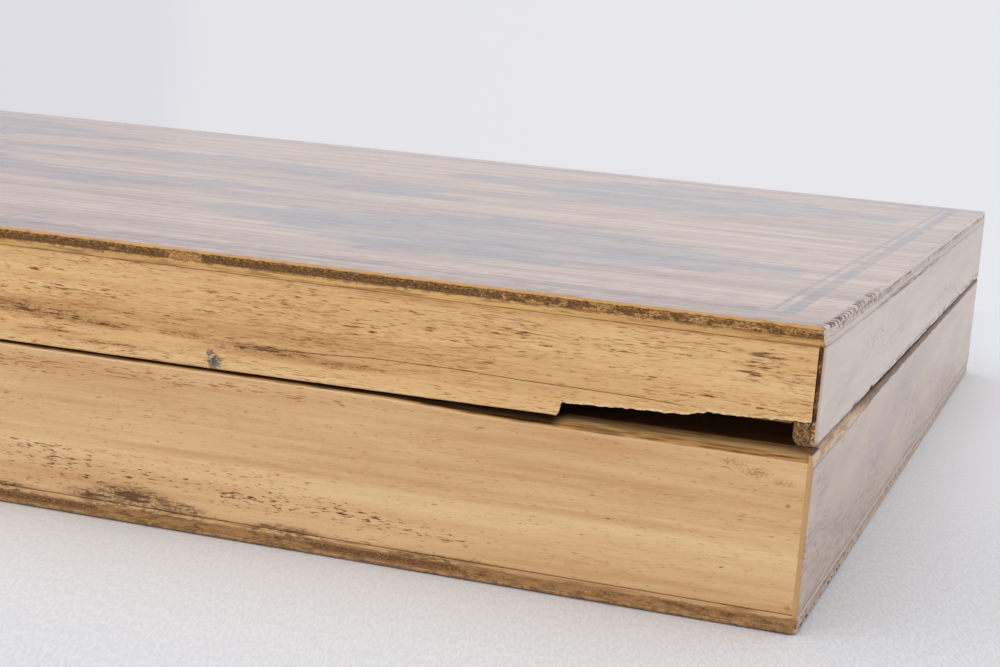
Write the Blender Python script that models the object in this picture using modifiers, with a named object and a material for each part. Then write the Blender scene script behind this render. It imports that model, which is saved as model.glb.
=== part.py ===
# Folding mancala board: a shallow wooden case whose base and lid each carry
# half of the playing field. Metres, +Z up.
# Origin: centre of the case's underside (hinge knuckles left out).
# +Y runs along the hinge line, +X from the hinge side to the opening side.

import bpy
import bmesh
from math import cos, pi, sin
from mathutils import Vector

# ------------------------------------------------------------------ sizes
WIDTH = 0.400            # X, hinge side to opening side
DEPTH = 0.319            # Y
HEIGHT = 0.0504          # closed height
PLY = 0.0032             # three-ply panel thickness
SIDE_T = 0.0048          # rails along Y
END_T = 0.0075           # rails along X
LIP = 0.0010             # thin lip of a side rail over the end of an end rail
GAP = 0.0003             # clearance between separate pieces

RIM_Z = 0.0297           # top of the base's rails
LID_Z = 0.0300           # bottom of the lid's rails at the hinge side
RISE = 0.0011            # extra gap under the lid at its front opening corner

# Break-out in the lower edge of the lid's front rail. A stump is left at the
# rail's end, where it is glued to the side rail.
BREAK_START = 0.0434     # from the case's opening side
BREAK_PROFILE = [        # (distance from the opening side, height)
    (0.0426, 0.0314), (0.0427, 0.0327), (0.0390, 0.0329), (0.0345, 0.0330),
    (0.0300, 0.0333), (0.0250, 0.0335), (0.0200, 0.0337), (0.0188, 0.0342),
    (0.0183, 0.0345), (0.0125, 0.0345), (0.0090, 0.0348), (0.0044, 0.0349),
    (0.0042, 0.0312),
]

BOARD_T = 0.0140         # playing planks
BOARD_DROP = 0.0030      # how far the base planks lie below the rim
STORE_W = 0.0780         # width of the store plank (X)
PIT_R_TOP = 0.0420
PIT_R_LOW = 0.0310
PIT_DEPTH = 0.0105
STORE_LEN = 0.2500       # long store, end to end (Y)
STORE_R = 0.0270         # half of its width
STORE_DEPTH = 0.0105
BATTEN_W = 0.0140

HINGE_Y = (-0.1000, 0.1000)
HINGE_LEN = 0.0450
LEAF_T = 0.0010
KNUCKLE_R = 0.0019
PIN_R = 0.0010
BORE_R = 0.0011
KNUCKLE_GAP = 0.0003
AXIS_X = -WIDTH / 2 - GAP - KNUCKLE_R + 0.00008
AXIS_Z = (RIM_Z + LID_Z) / 2
LEAF_H = 0.0122          # leaf, from the axis to its far edge
SCREW_OFF_Y = 0.0140
SCREW_OFF_Z = 0.0077
SCREW_R = 0.0009
SCREW_HEAD_R = 0.0019
SCREW_LEN = 0.0032       # shank inside the rail
SCREW_CLEAR = 0.0003

X0, X1 = -WIDTH / 2, WIDTH / 2
Y0, Y1 = -DEPTH / 2, DEPTH / 2
IX0, IX1 = X0 + SIDE_T, X1 - SIDE_T
IY0, IY1 = Y0 + END_T, Y1 - END_T

# ------------------------------------------------------------------ scene
for old in list(bpy.data.objects):
    bpy.data.objects.remove(old, do_unlink=True)

parts = bpy.data.collections.new("mancala_board")
tools = bpy.data.collections.new("cutters")
bpy.context.scene.collection.children.link(parts)
bpy.context.scene.collection.children.link(tools)

root = bpy.data.objects.new("case_frame", None)
parts.objects.link(root)
lid_axis = bpy.data.objects.new("lid_axis", None)
lid_axis.location = (AXIS_X, 0.0, AXIS_Z)
parts.objects.link(lid_axis)
lid_axis.parent = root


def material(name, colour, roughness, metallic=0.0):
    mat = bpy.data.materials.new(name)
    mat.use_nodes = True
    shader = mat.node_tree.nodes["Principled BSDF"]
    shader.inputs["Base Color"].default_value = (*colour, 1.0)
    shader.inputs["Roughness"].default_value = roughness
    shader.inputs["Metallic"].default_value = metallic
    mat.diffuse_color = (*colour, 1.0)
    return mat


def place(obj, colour, roughness, metallic=0.0, on_lid=False):
    """Give a finished piece its material and hang it on its parent."""
    obj.data.materials.clear()
    obj.data.materials.append(
        material(obj.name + "_finish", colour, roughness, metallic))
    if on_lid:
        obj.parent = lid_axis
        obj.location = Vector(obj.location) - Vector(lid_axis.location)
    else:
        obj.parent = root
    return obj


def finish_mesh(name, mesh, collection):
    obj = bpy.data.objects.new(name, mesh)
    collection.objects.link(obj)
    return obj


def box(name, low, high, collection=parts):
    size = [b - a for a, b in zip(low, high)]
    mid = [(a + b) / 2 for a, b in zip(low, high)]
    mesh = bpy.data.meshes.new(name)
    bm = bmesh.new()
    bmesh.ops.create_cube(bm, size=1.0)
    bmesh.ops.scale(bm, vec=size, verts=bm.verts)
    bm.to_mesh(mesh)
    bm.free()
    obj = finish_mesh(name, mesh, collection)
    obj.location = mid
    return obj


def outline_solid(name, points, low, high, plane="XY", collection=parts):
    """Extrude a flat closed outline between low and high across its plane.
    plane XY extrudes along Z, XZ along Y and YZ along X."""
    curve = bpy.data.curves.new(name + "_outline", "CURVE")
    curve.dimensions = "2D"
    curve.fill_mode = "BOTH"
    curve.extrude = (high - low) / 2
    spline = curve.splines.new("POLY")
    spline.points.add(len(points) - 1)
    for p, (a, b) in zip(spline.points, points):
        p.co = (a, b, 0.0, 1.0)
    spline.use_cyclic_u = True
    guide = bpy.data.objects.new(name + "_outline", curve)
    tools.objects.link(guide)
    bpy.context.view_layer.update()
    graph = bpy.context.evaluated_depsgraph_get()
    mesh = bpy.data.meshes.new_from_object(guide.evaluated_get(graph))
    bpy.data.objects.remove(guide, do_unlink=True)
    bm = bmesh.new()
    bm.from_mesh(mesh)
    bmesh.ops.remove_doubles(bm, verts=bm.verts, dist=1e-6)
    mid = (low + high) / 2
    for v in bm.verts:
        a, b, c = v.co
        if plane == "XY":
            v.co = (a, b, c + mid)
        elif plane == "XZ":
            v.co = (a, c + mid, b)
        else:
            v.co = (c + mid, a, b)
    bmesh.ops.recalc_face_normals(bm, faces=bm.faces)
    if bm.calc_volume(signed=True) < 0.0:
        bmesh.ops.reverse_faces(bm, faces=bm.faces)
    bm.to_mesh(mesh)
    bm.free()
    mesh.name = name
    return finish_mesh(name, mesh, collection)


def round_bar(name, radius, length, centre, axis="Z", sides=24, top=None,
              collection=parts):
    """A cylinder, or a cone when top is given, centred and laid along axis."""
    mesh = bpy.data.meshes.new(name)
    bm = bmesh.new()
    bmesh.ops.create_cone(bm, cap_ends=True, segments=sides, radius1=radius,
                          radius2=radius if top is None else top, depth=length)
    bm.to_mesh(mesh)
    bm.free()
    mesh.shade_smooth()
    mesh.set_sharp_from_angle(angle=0.7)
    obj = finish_mesh(name, mesh, collection)
    obj.location = centre
    if axis == "Y":
        obj.rotation_euler = (pi / 2, 0.0, 0.0)
    elif axis == "X":
        obj.rotation_euler = (0.0, pi / 2, 0.0)
    elif axis == "-Z":
        obj.rotation_euler = (pi, 0.0, 0.0)
    return obj


def as_cutter(obj):
    obj.hide_render = True
    obj.display_type = "WIRE"
    return obj


def boolean(obj, other, operation):
    mod = obj.modifiers.new(operation.lower() + "_" + other.name, "BOOLEAN")
    mod.operation = operation
    mod.solver = "EXACT"
    mod.object = other
    return mod


def bevel(obj, width, segments=2):
    mod = obj.modifiers.new("rounded_edges", "BEVEL")
    mod.width = width
    mod.segments = segments
    mod.limit_method = "ANGLE"
    mod.angle_limit = 0.6
    return mod


def rim_front(x):
    """Lower edge of the lid's front rail: it rises close to the corner."""
    return LID_Z + RISE * max(0.0, (x - X0) / WIDTH) ** 7


def rim_side(y):
    """Lower edge of the lid's opening-side rail."""
    return LID_Z + RISE * (Y1 - y) / DEPTH


def side_rail_plan(outer, inner, lip):
    """Plan of a rail along Y whose ends are rabbeted down to a thin lip."""
    step0 = Y0 + END_T + GAP
    step1 = Y1 - END_T - GAP
    return [(outer, Y0), (outer, Y1), (lip, Y1), (lip, step1), (inner, step1),
            (inner, step0), (lip, step0), (lip, Y0)]


WOOD = (0.62, 0.40, 0.18)
WOOD_PALE = (0.66, 0.46, 0.24)
WOOD_TOP = (0.50, 0.36, 0.24)
BRASS = (0.70, 0.52, 0.24)
STEEL = (0.55, 0.52, 0.46)

# ------------------------------------------------------------------- base
panel = box("base_bottom_panel", (X0, Y0, 0.0), (X1, Y1, PLY))
bevel(panel, 0.0005)
place(panel, WOOD_PALE, 0.45)

rail_low = PLY + GAP
ex0, ex1 = X0 + LIP + GAP, X1 - LIP - GAP
rail = box("base_front_rail", (ex0, Y0, rail_low), (ex1, Y0 + END_T, RIM_Z))
bevel(rail, 0.0006)
place(rail, WOOD, 0.35)
rail = box("base_back_rail", (ex0, Y1 - END_T, rail_low), (ex1, Y1, RIM_Z))
bevel(rail, 0.0006)
place(rail, WOOD, 0.35)

outer = outline_solid("base_outer_rail", side_rail_plan(X1, IX1, X1 - LIP),
                      rail_low, RIM_Z)
place(outer, WOOD, 0.35)
base_hinge_rail = outline_solid("base_hinge_rail",
                                side_rail_plan(X0, IX0, X0 + LIP),
                                rail_low, RIM_Z)
place(base_hinge_rail, WOOD, 0.35)

# -------------------------------------------------------------------- lid
top_z = HEIGHT - PLY - GAP          # top of the lid's rails

panel = box("lid_top_panel", (X0, Y0, HEIGHT - PLY), (X1, Y1, HEIGHT))
bevel(panel, 0.0005)
place(panel, WOOD_TOP, 0.25, on_lid=True)

break_x = X1 - BREAK_START
rail_xs = [ex0, -0.020, 0.050, 0.090, 0.120, 0.140, break_x]
front_points = [(x, rim_front(x)) for x in rail_xs]
front_points += [(X1 - d, z) for d, z in BREAK_PROFILE]
front_points += [(ex1, 0.0312), (ex1, top_z), (ex0, top_z)]
lid_front = outline_solid("lid_front_rail", front_points, Y0, Y0 + END_T, "XZ")
place(lid_front, WOOD, 0.35, on_lid=True)

rail = box("lid_back_rail", (ex0, Y1 - END_T, LID_Z), (ex1, Y1, top_z))
bevel(rail, 0.0006)
place(rail, WOOD, 0.35, on_lid=True)

outer = outline_solid("lid_outer_rail", side_rail_plan(X1, IX1, X1 - LIP),
                      LID_Z, top_z)
for v in outer.data.vertices:
    if v.co.z < HEIGHT - 0.010:
        v.co.z = rim_side(v.co.y)
place(outer, WOOD, 0.35, on_lid=True)
lid_hinge_rail = outline_solid("lid_hinge_rail",
                               side_rail_plan(X0, IX0, X0 + LIP), LID_Z, top_z)

# --------------------------------------------------------- playing boards
bx0, bx1 = IX0 + GAP, IX1 - GAP
by0, by1 = IY0 + GAP, IY1 - GAP
store_x0 = bx1 - STORE_W
plank_x1 = store_x0 - GAP
plank_len = plank_x1 - bx0
pit_xs = [bx0 + plank_len * k / 6 for k in (1, 3, 5)]
half_gap = GAP / 2
plank_spans = {"front": (by0, -half_gap), "back": (half_gap, by1)}

base_top = RIM_Z - BOARD_DROP
base_low = base_top - BOARD_T
lid_face = top_z - BOARD_T          # playing face of the lid's planks, shut


def playing_plank(name, y_span, low, high, face_up, on_lid):
    plank = box(name, (bx0, y_span[0], low), (plank_x1, y_span[1], high))
    face = high if face_up else low
    sign = 1.0 if face_up else -1.0
    extra = 0.002                   # the cutter stands this far proud
    slope = (PIT_R_TOP - PIT_R_LOW) / PIT_DEPTH
    for k, x in enumerate(pit_xs):
        centre_z = face + sign * (extra - PIT_DEPTH) / 2
        cutter = round_bar("cut_%s_pit_%d" % (name, k + 1), PIT_R_LOW,
                           PIT_DEPTH + extra,
                           (x, sum(y_span) / 2, centre_z),
                           axis="Z" if face_up else "-Z", sides=32,
                           top=PIT_R_TOP + slope * extra, collection=tools)
        as_cutter(cutter)
        boolean(plank, cutter, "DIFFERENCE")
    return place(plank, WOOD_PALE, 0.40, on_lid=on_lid)


def store_plank(name, low, high, face_up, on_lid):
    plank = box(name, (store_x0, by0, low), (bx1, by1, high))
    cx = (store_x0 + bx1) / 2
    half = STORE_LEN / 2 - STORE_R
    turn = [pi * k / 12 for k in range(13)]
    outline = [(cx + STORE_R * cos(a), half + STORE_R * sin(a)) for a in turn]
    outline += [(cx - STORE_R * cos(a), -half - STORE_R * sin(a)) for a in turn]
    if face_up:
        z_span = (high - STORE_DEPTH, high + 0.002)
    else:
        z_span = (low - 0.002, low + STORE_DEPTH)
    cutter = outline_solid("cut_" + name, outline, *z_span, collection=tools)
    as_cutter(cutter)
    boolean(plank, cutter, "DIFFERENCE")
    return place(plank, WOOD_PALE, 0.40, on_lid=on_lid)


for side, span in plank_spans.items():
    playing_plank("base_pit_board_" + side, span, base_low, base_top, True,
                  False)
    playing_plank("lid_pit_board_" + side, span, lid_face, top_z, False, True)
store_plank("base_store_board", base_low, base_top, True, False)
store_plank("lid_store_board", lid_face, top_z, False, True)

batten_top = base_low - GAP
for label, x in (("hinge_side", bx0 + 0.020), ("middle", -0.0400),
                 ("outer_side", store_x0)):
    batten = box("base_batten_" + label,
                 (x - BATTEN_W / 2, by0 + 0.004, PLY + GAP),
                 (x + BATTEN_W / 2, by1 - 0.004, batten_top))
    bevel(batten, 0.0005)
    place(batten, WOOD_PALE, 0.55)

# ----------------------------------------------------------------- hinges
leaf_x1 = X0 - GAP                  # face of a leaf against the case
leaf_x0 = leaf_x1 - LEAF_T


def knuckle_spans(y_mid):
    """Three equal knuckles along the barrel, a small gap between each."""
    y0 = y_mid - HINGE_LEN / 2
    step = HINGE_LEN / 3
    spans = []
    for k in range(3):
        a = y0 + k * step + (KNUCKLE_GAP / 2 if k > 0 else 0.0)
        b = y0 + (k + 1) * step - (KNUCKLE_GAP / 2 if k < 2 else 0.0)
        spans.append((a, b))
    return spans


def leaf(name, y_mid, upward, own, on_lid):
    """A flat leaf with its own knuckles rolled round the pin."""
    sign = 1.0 if upward else -1.0
    spans = knuckle_spans(y_mid)
    clear = AXIS_Z + sign * (KNUCKLE_R + KNUCKLE_GAP)
    far = AXIS_Z + sign * LEAF_H
    inset = 0.0001                  # the flat plate is a hair shorter than
    root_z = AXIS_Z + sign * 0.0002  # its barrels, and its tabs stop in them
    plate = box(name, (leaf_x0, y_mid - HINGE_LEN / 2 + inset,
                       min(clear, far)),
                (leaf_x1, y_mid + HINGE_LEN / 2 - inset, max(clear, far)))
    for k in own:
        a, b = spans[k]
        deep = clear + sign * 0.002
        tab = box("join_%s_tab_%d" % (name, k),
                  (leaf_x0 + inset / 2, a + 2 * inset, min(root_z, deep)),
                  (leaf_x1 - inset / 2, b - 2 * inset, max(root_z, deep)),
                  collection=tools)
        as_cutter(tab)
        boolean(plate, tab, "UNION")
        barrel = round_bar("join_%s_%d" % (name, k), KNUCKLE_R, b - a,
                           (AXIS_X, (a + b) / 2, AXIS_Z), axis="Y", sides=24,
                           collection=tools)
        as_cutter(barrel)
        boolean(plate, barrel, "UNION")
    bore = round_bar("cut_%s_bore" % name, BORE_R, HINGE_LEN + 0.004,
                     (AXIS_X, y_mid, AXIS_Z), axis="Y", sides=24,
                     collection=tools)
    as_cutter(bore)
    boolean(plate, bore, "DIFFERENCE")
    for k, dy in enumerate((-SCREW_OFF_Y, SCREW_OFF_Y)):
        z = AXIS_Z + sign * SCREW_OFF_Z
        # countersink wide at the outer face (-X), clear of the screw's head
        hole = round_bar("cut_%s_hole_%d" % (name, k + 1),
                         SCREW_HEAD_R + SCREW_CLEAR + 0.0005,
                         LEAF_T + 0.001,
                         ((leaf_x0 + leaf_x1) / 2, y_mid + dy, z), axis="X",
                         sides=16, top=SCREW_R + SCREW_CLEAR - 0.0002,
                         collection=tools)
        as_cutter(hole)
        boolean(plate, hole, "DIFFERENCE")
    return place(plate, BRASS, 0.35, 1.0, on_lid)


screw_mesh = {}


def screw(name, y, z, on_lid):
    """Countersunk screw: a turned profile, laid along X, head at -X."""
    if "mesh" not in screw_mesh:
        mesh = bpy.data.meshes.new("hinge_screw")
        bm = bmesh.new()
        head_top = LEAF_T + GAP - 0.0001
        tip = -SCREW_LEN
        profile = [(0.0, head_top), (SCREW_HEAD_R, head_top),
                   (SCREW_R, head_top - 0.0010), (SCREW_R, tip + 0.0008),
                   (0.0003, tip), (0.0, tip)]
        verts = [bm.verts.new((r, 0.0, h)) for r, h in profile]
        for a, b in zip(verts, verts[1:]):
            bm.edges.new((a, b))
        bm.to_mesh(mesh)
        bm.free()
        screw_mesh["mesh"] = mesh
    obj = finish_mesh(name, screw_mesh["mesh"].copy(), parts)
    turn = obj.modifiers.new("turned", "SCREW")
    turn.axis = "Z"
    turn.angle = 2 * pi
    turn.steps = 16
    turn.render_steps = 16
    turn.use_merge_vertices = True
    turn.merge_threshold = 0.00001
    obj.location = (X0, y, z)
    obj.rotation_euler = (0.0, -pi / 2, 0.0)
    return place(obj, BRASS, 0.35, 1.0, on_lid)


def screw_hole(rail, name, y, z):
    hole = round_bar("cut_" + name, SCREW_R + SCREW_CLEAR,
                     2 * (SCREW_LEN + 0.0005), (X0, y, z), axis="X", sides=16,
                     collection=tools)
    as_cutter(hole)
    boolean(rail, hole, "DIFFERENCE")


for label, y_mid in zip(("front", "back"), HINGE_Y):
    leaf("hinge_%s_base_leaf" % label, y_mid, False, (0, 2), False)
    leaf("hinge_%s_lid_leaf" % label, y_mid, True, (1,), True)
    pin = round_bar("hinge_%s_pin" % label, PIN_R, HINGE_LEN,
                    (AXIS_X, y_mid, AXIS_Z), axis="Y", sides=24)
    place(pin, STEEL, 0.30, 1.0)
    for k, dy in enumerate((-SCREW_OFF_Y, SCREW_OFF_Y)):
        y = y_mid + dy
        z = AXIS_Z - SCREW_OFF_Z
        screw("screw_%s_base_%d" % (label, k + 1), y, z, False)
        screw_hole(base_hinge_rail, "base_%s_%d" % (label, k + 1), y, z)
        z = AXIS_Z + SCREW_OFF_Z
        screw("screw_%s_lid_%d" % (label, k + 1), y, z, True)
        screw_hole(lid_hinge_rail, "lid_%s_%d" % (label, k + 1), y, z)

place(lid_hinge_rail, WOOD, 0.35, on_lid=True)
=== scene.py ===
# Looks of a folding mancala board: a shallow varnished wooden case whose base
# and lid each carry half of the playing field. Metres, +Z up, same frame as
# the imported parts. All finishes are procedural node materials.

from math import cos, hypot, pi, radians, sin

import bpy
import bmesh
from mathutils import Matrix, Vector
from mathutils import noise as mn


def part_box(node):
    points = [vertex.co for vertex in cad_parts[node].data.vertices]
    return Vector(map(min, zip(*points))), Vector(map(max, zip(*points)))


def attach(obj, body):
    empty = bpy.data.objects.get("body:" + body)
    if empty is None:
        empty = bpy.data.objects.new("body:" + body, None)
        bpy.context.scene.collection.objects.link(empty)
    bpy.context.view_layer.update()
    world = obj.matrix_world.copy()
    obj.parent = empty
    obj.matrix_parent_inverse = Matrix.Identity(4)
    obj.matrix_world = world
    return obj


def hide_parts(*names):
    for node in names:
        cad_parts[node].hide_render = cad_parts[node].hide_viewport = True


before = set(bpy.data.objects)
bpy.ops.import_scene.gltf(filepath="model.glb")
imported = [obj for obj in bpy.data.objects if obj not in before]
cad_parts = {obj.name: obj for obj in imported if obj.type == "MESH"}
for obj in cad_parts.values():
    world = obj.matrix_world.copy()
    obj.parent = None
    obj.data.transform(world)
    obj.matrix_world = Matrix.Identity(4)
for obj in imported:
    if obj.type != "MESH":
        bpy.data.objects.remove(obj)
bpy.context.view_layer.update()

# ------------------------------------------------------------- dimensions
lo_b, hi_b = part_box("base_bottom_panel")
lo_t, hi_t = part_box("lid_top_panel")
X0, X1 = lo_b.x, hi_b.x
Y0, Y1 = lo_b.y, hi_b.y
PLY = hi_b.z
TOP = hi_t.z
SIDE_T = 0.0048
END_T = 0.0075
LIP = 0.0010
GAP = 0.0003
RIM_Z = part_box("base_front_rail")[1].z
LID_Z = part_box("lid_back_rail")[0].z
RISE = 0.0011
HINGE_LEN = 0.0450
LEAF_T = 0.0010
KNUCKLE_R = 0.0019
PIN_R = 0.0010
BORE_R = 0.0011
AXIS_X = X0 - GAP - KNUCKLE_R + 0.00008
AXIS_Z = (RIM_Z + LID_Z) / 2
LEAF_H = 0.0122
SCREW_OFF_Y = 0.0140
SCREW_OFF_Z = 0.0077


def fbm(x, y=0.0, z=0.0, octaves=3):
    """Seedless fractal Perlin noise, about -1 to 1."""
    total, amp, norm = 0.0, 1.0, 0.0
    for _ in range(octaves):
        total += amp * mn.noise(Vector((x, y, z)))
        norm += amp
        x, y, z, amp = x * 2.03 + 7.1, y * 2.03 + 3.7, z * 2.03 + 1.3, amp * 0.5
    return 1.6 * total / norm


def table(points, x):
    """Straight-line interpolation through (x, value) points, x ascending."""
    if x <= points[0][0]:
        return points[0][1]
    for (xa, va), (xb, vb) in zip(points, points[1:]):
        if x <= xb:
            return va + (vb - va) * (x - xa) / (xb - xa)
    return points[-1][1]


def ease(t):
    t = min(1.0, max(0.0, t))
    return t * t * (3 - 2 * t)


# -------------------------------------------------------------- materials
def lin(colour):
    """sRGB 0-255 to a linear RGBA."""
    out = []
    for v in colour:
        v = v / 255.0
        out.append(v / 12.92 if v <= 0.04045 else ((v + 0.055) / 1.055) ** 2.4)
    return (*out, 1.0)


def blob_group():
    """1 - ((u - cu) / ru)^2 - ((v - cv) / rv)^2, clamped below at 0."""
    group = bpy.data.node_groups.new("Spot", "ShaderNodeTree")
    for name in ("u", "v", "cu", "cv", "ru", "rv"):
        group.interface.new_socket(name, in_out="INPUT",
                                   socket_type="NodeSocketFloat")
    group.interface.new_socket("out", in_out="OUTPUT",
                               socket_type="NodeSocketFloat")
    gi = group.nodes.new("NodeGroupInput")
    go = group.nodes.new("NodeGroupOutput")

    def op(kind, a, b):
        n = group.nodes.new("ShaderNodeMath")
        n.operation = kind
        for k, v in enumerate((a, b)):
            if isinstance(v, (int, float)):
                n.inputs[k].default_value = v
            else:
                group.links.new(v, n.inputs[k])
        return n.outputs[0]

    parts = []
    for a, c, r in (("u", "cu", "ru"), ("v", "cv", "rv")):
        d = op("DIVIDE", op("SUBTRACT", gi.outputs[a], gi.outputs[c]),
               gi.outputs[r])
        parts.append(op("MULTIPLY", d, d))
    full = op("SUBTRACT", 1.0, op("ADD", *parts))
    group.links.new(op("MAXIMUM", full, 0.0), go.inputs[0])
    return group


SPOT = blob_group()


class Tree:
    """A small builder for one material's node tree. Positions in mm."""

    def __init__(self, name):
        self.mat = bpy.data.materials.new(name)
        self.mat.use_nodes = True
        self.t = self.mat.node_tree
        self.t.nodes.clear()
        out = self.t.nodes.new("ShaderNodeOutputMaterial")
        self.bsdf = self.t.nodes.new("ShaderNodeBsdfPrincipled")
        self.t.links.new(self.bsdf.outputs[0], out.inputs[0])
        co = self.t.nodes.new("ShaderNodeTexCoord")
        n = self.t.nodes.new("ShaderNodeVectorMath")
        n.operation = "SCALE"
        n.inputs["Scale"].default_value = 1000.0
        self.t.links.new(co.outputs["Object"], n.inputs[0])
        self.p = n.outputs[0]
        sep = self.t.nodes.new("ShaderNodeSeparateXYZ")
        self.t.links.new(self.p, sep.inputs[0])
        self.x, self.y, self.z = sep.outputs

    def put(self, socket, value):
        if isinstance(value, bpy.types.NodeSocket):
            self.t.links.new(value, socket)
        else:
            socket.default_value = value

    def math(self, kind, a, b=None, c=None, clamp=False):
        n = self.t.nodes.new("ShaderNodeMath")
        n.operation = kind
        n.use_clamp = clamp
        for k, v in enumerate((a, b, c)):
            if v is not None:
                self.put(n.inputs[k], v)
        return n.outputs[0]

    def add(self, a, b):
        return self.math("ADD", a, b)

    def sub(self, a, b):
        return self.math("SUBTRACT", a, b)

    def mul(self, a, b):
        return self.math("MULTIPLY", a, b)

    def top(self, a, b):
        return self.math("MAXIMUM", a, b)

    def low(self, a, b):
        return self.math("MINIMUM", a, b)

    def inv(self, a):
        return self.math("SUBTRACT", 1.0, a, clamp=True)

    def vec(self, a, b, c):
        n = self.t.nodes.new("ShaderNodeCombineXYZ")
        for k, v in enumerate((a, b, c)):
            self.put(n.inputs[k], v)
        return n.outputs[0]

    def stretch(self, v, scale, offset=(0, 0, 0)):
        n = self.t.nodes.new("ShaderNodeVectorMath")
        n.operation = "MULTIPLY_ADD"
        self.put(n.inputs[0], v)
        n.inputs[1].default_value = scale
        n.inputs[2].default_value = offset
        return n.outputs[0]

    def noise(self, v, detail=2.0, rough=0.5, twist=0.0):
        n = self.t.nodes.new("ShaderNodeTexNoise")
        self.put(n.inputs["Vector"], v)
        n.inputs["Scale"].default_value = 1.0
        n.inputs["Detail"].default_value = detail
        n.inputs["Roughness"].default_value = rough
        n.inputs["Distortion"].default_value = twist
        return n.outputs["Fac"]

    def cells(self, v, feature="F1"):
        n = self.t.nodes.new("ShaderNodeTexVoronoi")
        n.feature = feature
        self.put(n.inputs["Vector"], v)
        n.inputs["Scale"].default_value = 1.0
        return n.outputs["Distance"]

    def band(self, v, low, high):
        """Smooth step of v from 0 at low to 1 at high (high may be lower)."""
        n = self.t.nodes.new("ShaderNodeMapRange")
        n.interpolation_type = "SMOOTHSTEP"
        n.clamp = True
        flip = not isinstance(low, bpy.types.NodeSocket) and \
            not isinstance(high, bpy.types.NodeSocket) and high < low
        if flip:
            low, high = high, low
        self.put(n.inputs["Value"], v)
        self.put(n.inputs["From Min"], low)
        self.put(n.inputs["From Max"], high)
        n.inputs["To Min"].default_value = 1.0 if flip else 0.0
        n.inputs["To Max"].default_value = 0.0 if flip else 1.0
        return n.outputs[0]

    def mix(self, fac, a, b, kind="MIX"):
        n = self.t.nodes.new("ShaderNodeMix")
        n.data_type = "RGBA"
        n.blend_type = kind
        n.clamp_factor = True
        self.put(n.inputs[0], fac)
        for k, v in ((6, a), (7, b)):
            if isinstance(v, tuple) and len(v) == 3:
                v = lin(v)
            self.put(n.inputs[k], v)
        return n.outputs[2]

    def ramp(self, fac, stops):
        n = self.t.nodes.new("ShaderNodeValToRGB")
        r = n.color_ramp
        while len(r.elements) < len(stops):
            r.elements.new(0.5)
        for e, (pos, col) in zip(r.elements, stops):
            e.position = pos
            e.color = lin(col)
        self.put(n.inputs[0], fac)
        return n.outputs[0]

    def spot(self, u, v, cu, cv, ru, rv):
        n = self.t.nodes.new("ShaderNodeGroup")
        n.node_tree = SPOT
        for k, val in enumerate((u, v, cu, cv, ru, rv)):
            self.put(n.inputs[k], val)
        return n.outputs[0]

    def spots(self, u, v, items):
        """Largest of several weighted spots (cu, cv, ru, rv, weight)."""
        out = None
        for cu, cv, ru, rv, weight in items:
            s = self.mul(self.spot(u, v, cu, cv, ru, rv), weight)
            out = s if out is None else self.top(out, s)
        return out

    def attribute(self, name):
        n = self.t.nodes.new("ShaderNodeAttribute")
        n.attribute_type = "GEOMETRY"
        n.attribute_name = name
        return n.outputs["Fac"]

    def bump(self, height, distance_mm, strength=1.0, normal=None):
        n = self.t.nodes.new("ShaderNodeBump")
        n.inputs["Distance"].default_value = distance_mm / 1000.0
        n.inputs["Strength"].default_value = strength
        self.put(n.inputs["Height"], height)
        if normal is not None:
            self.put(n.inputs["Normal"], normal)
        return n.outputs[0]

    def done(self, colour, rough, normal=None, coat=0.0, coat_rough=0.15,
             coat_normal=None, metallic=0.0, specular=0.5):
        b = self.bsdf
        if isinstance(colour, tuple) and len(colour) == 3:
            colour = lin(colour)
        self.put(b.inputs["Base Color"], colour)
        self.put(b.inputs["Roughness"], rough)
        self.put(b.inputs["Metallic"], metallic)
        self.put(b.inputs["Specular IOR Level"], specular)
        self.put(b.inputs["Coat Weight"], coat)
        self.put(b.inputs["Coat Roughness"], coat_rough)
        if normal is not None:
            self.put(b.inputs["Normal"], normal)
        if coat_normal is not None:
            self.put(b.inputs["Coat Normal"], coat_normal)
        return self.mat


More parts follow.
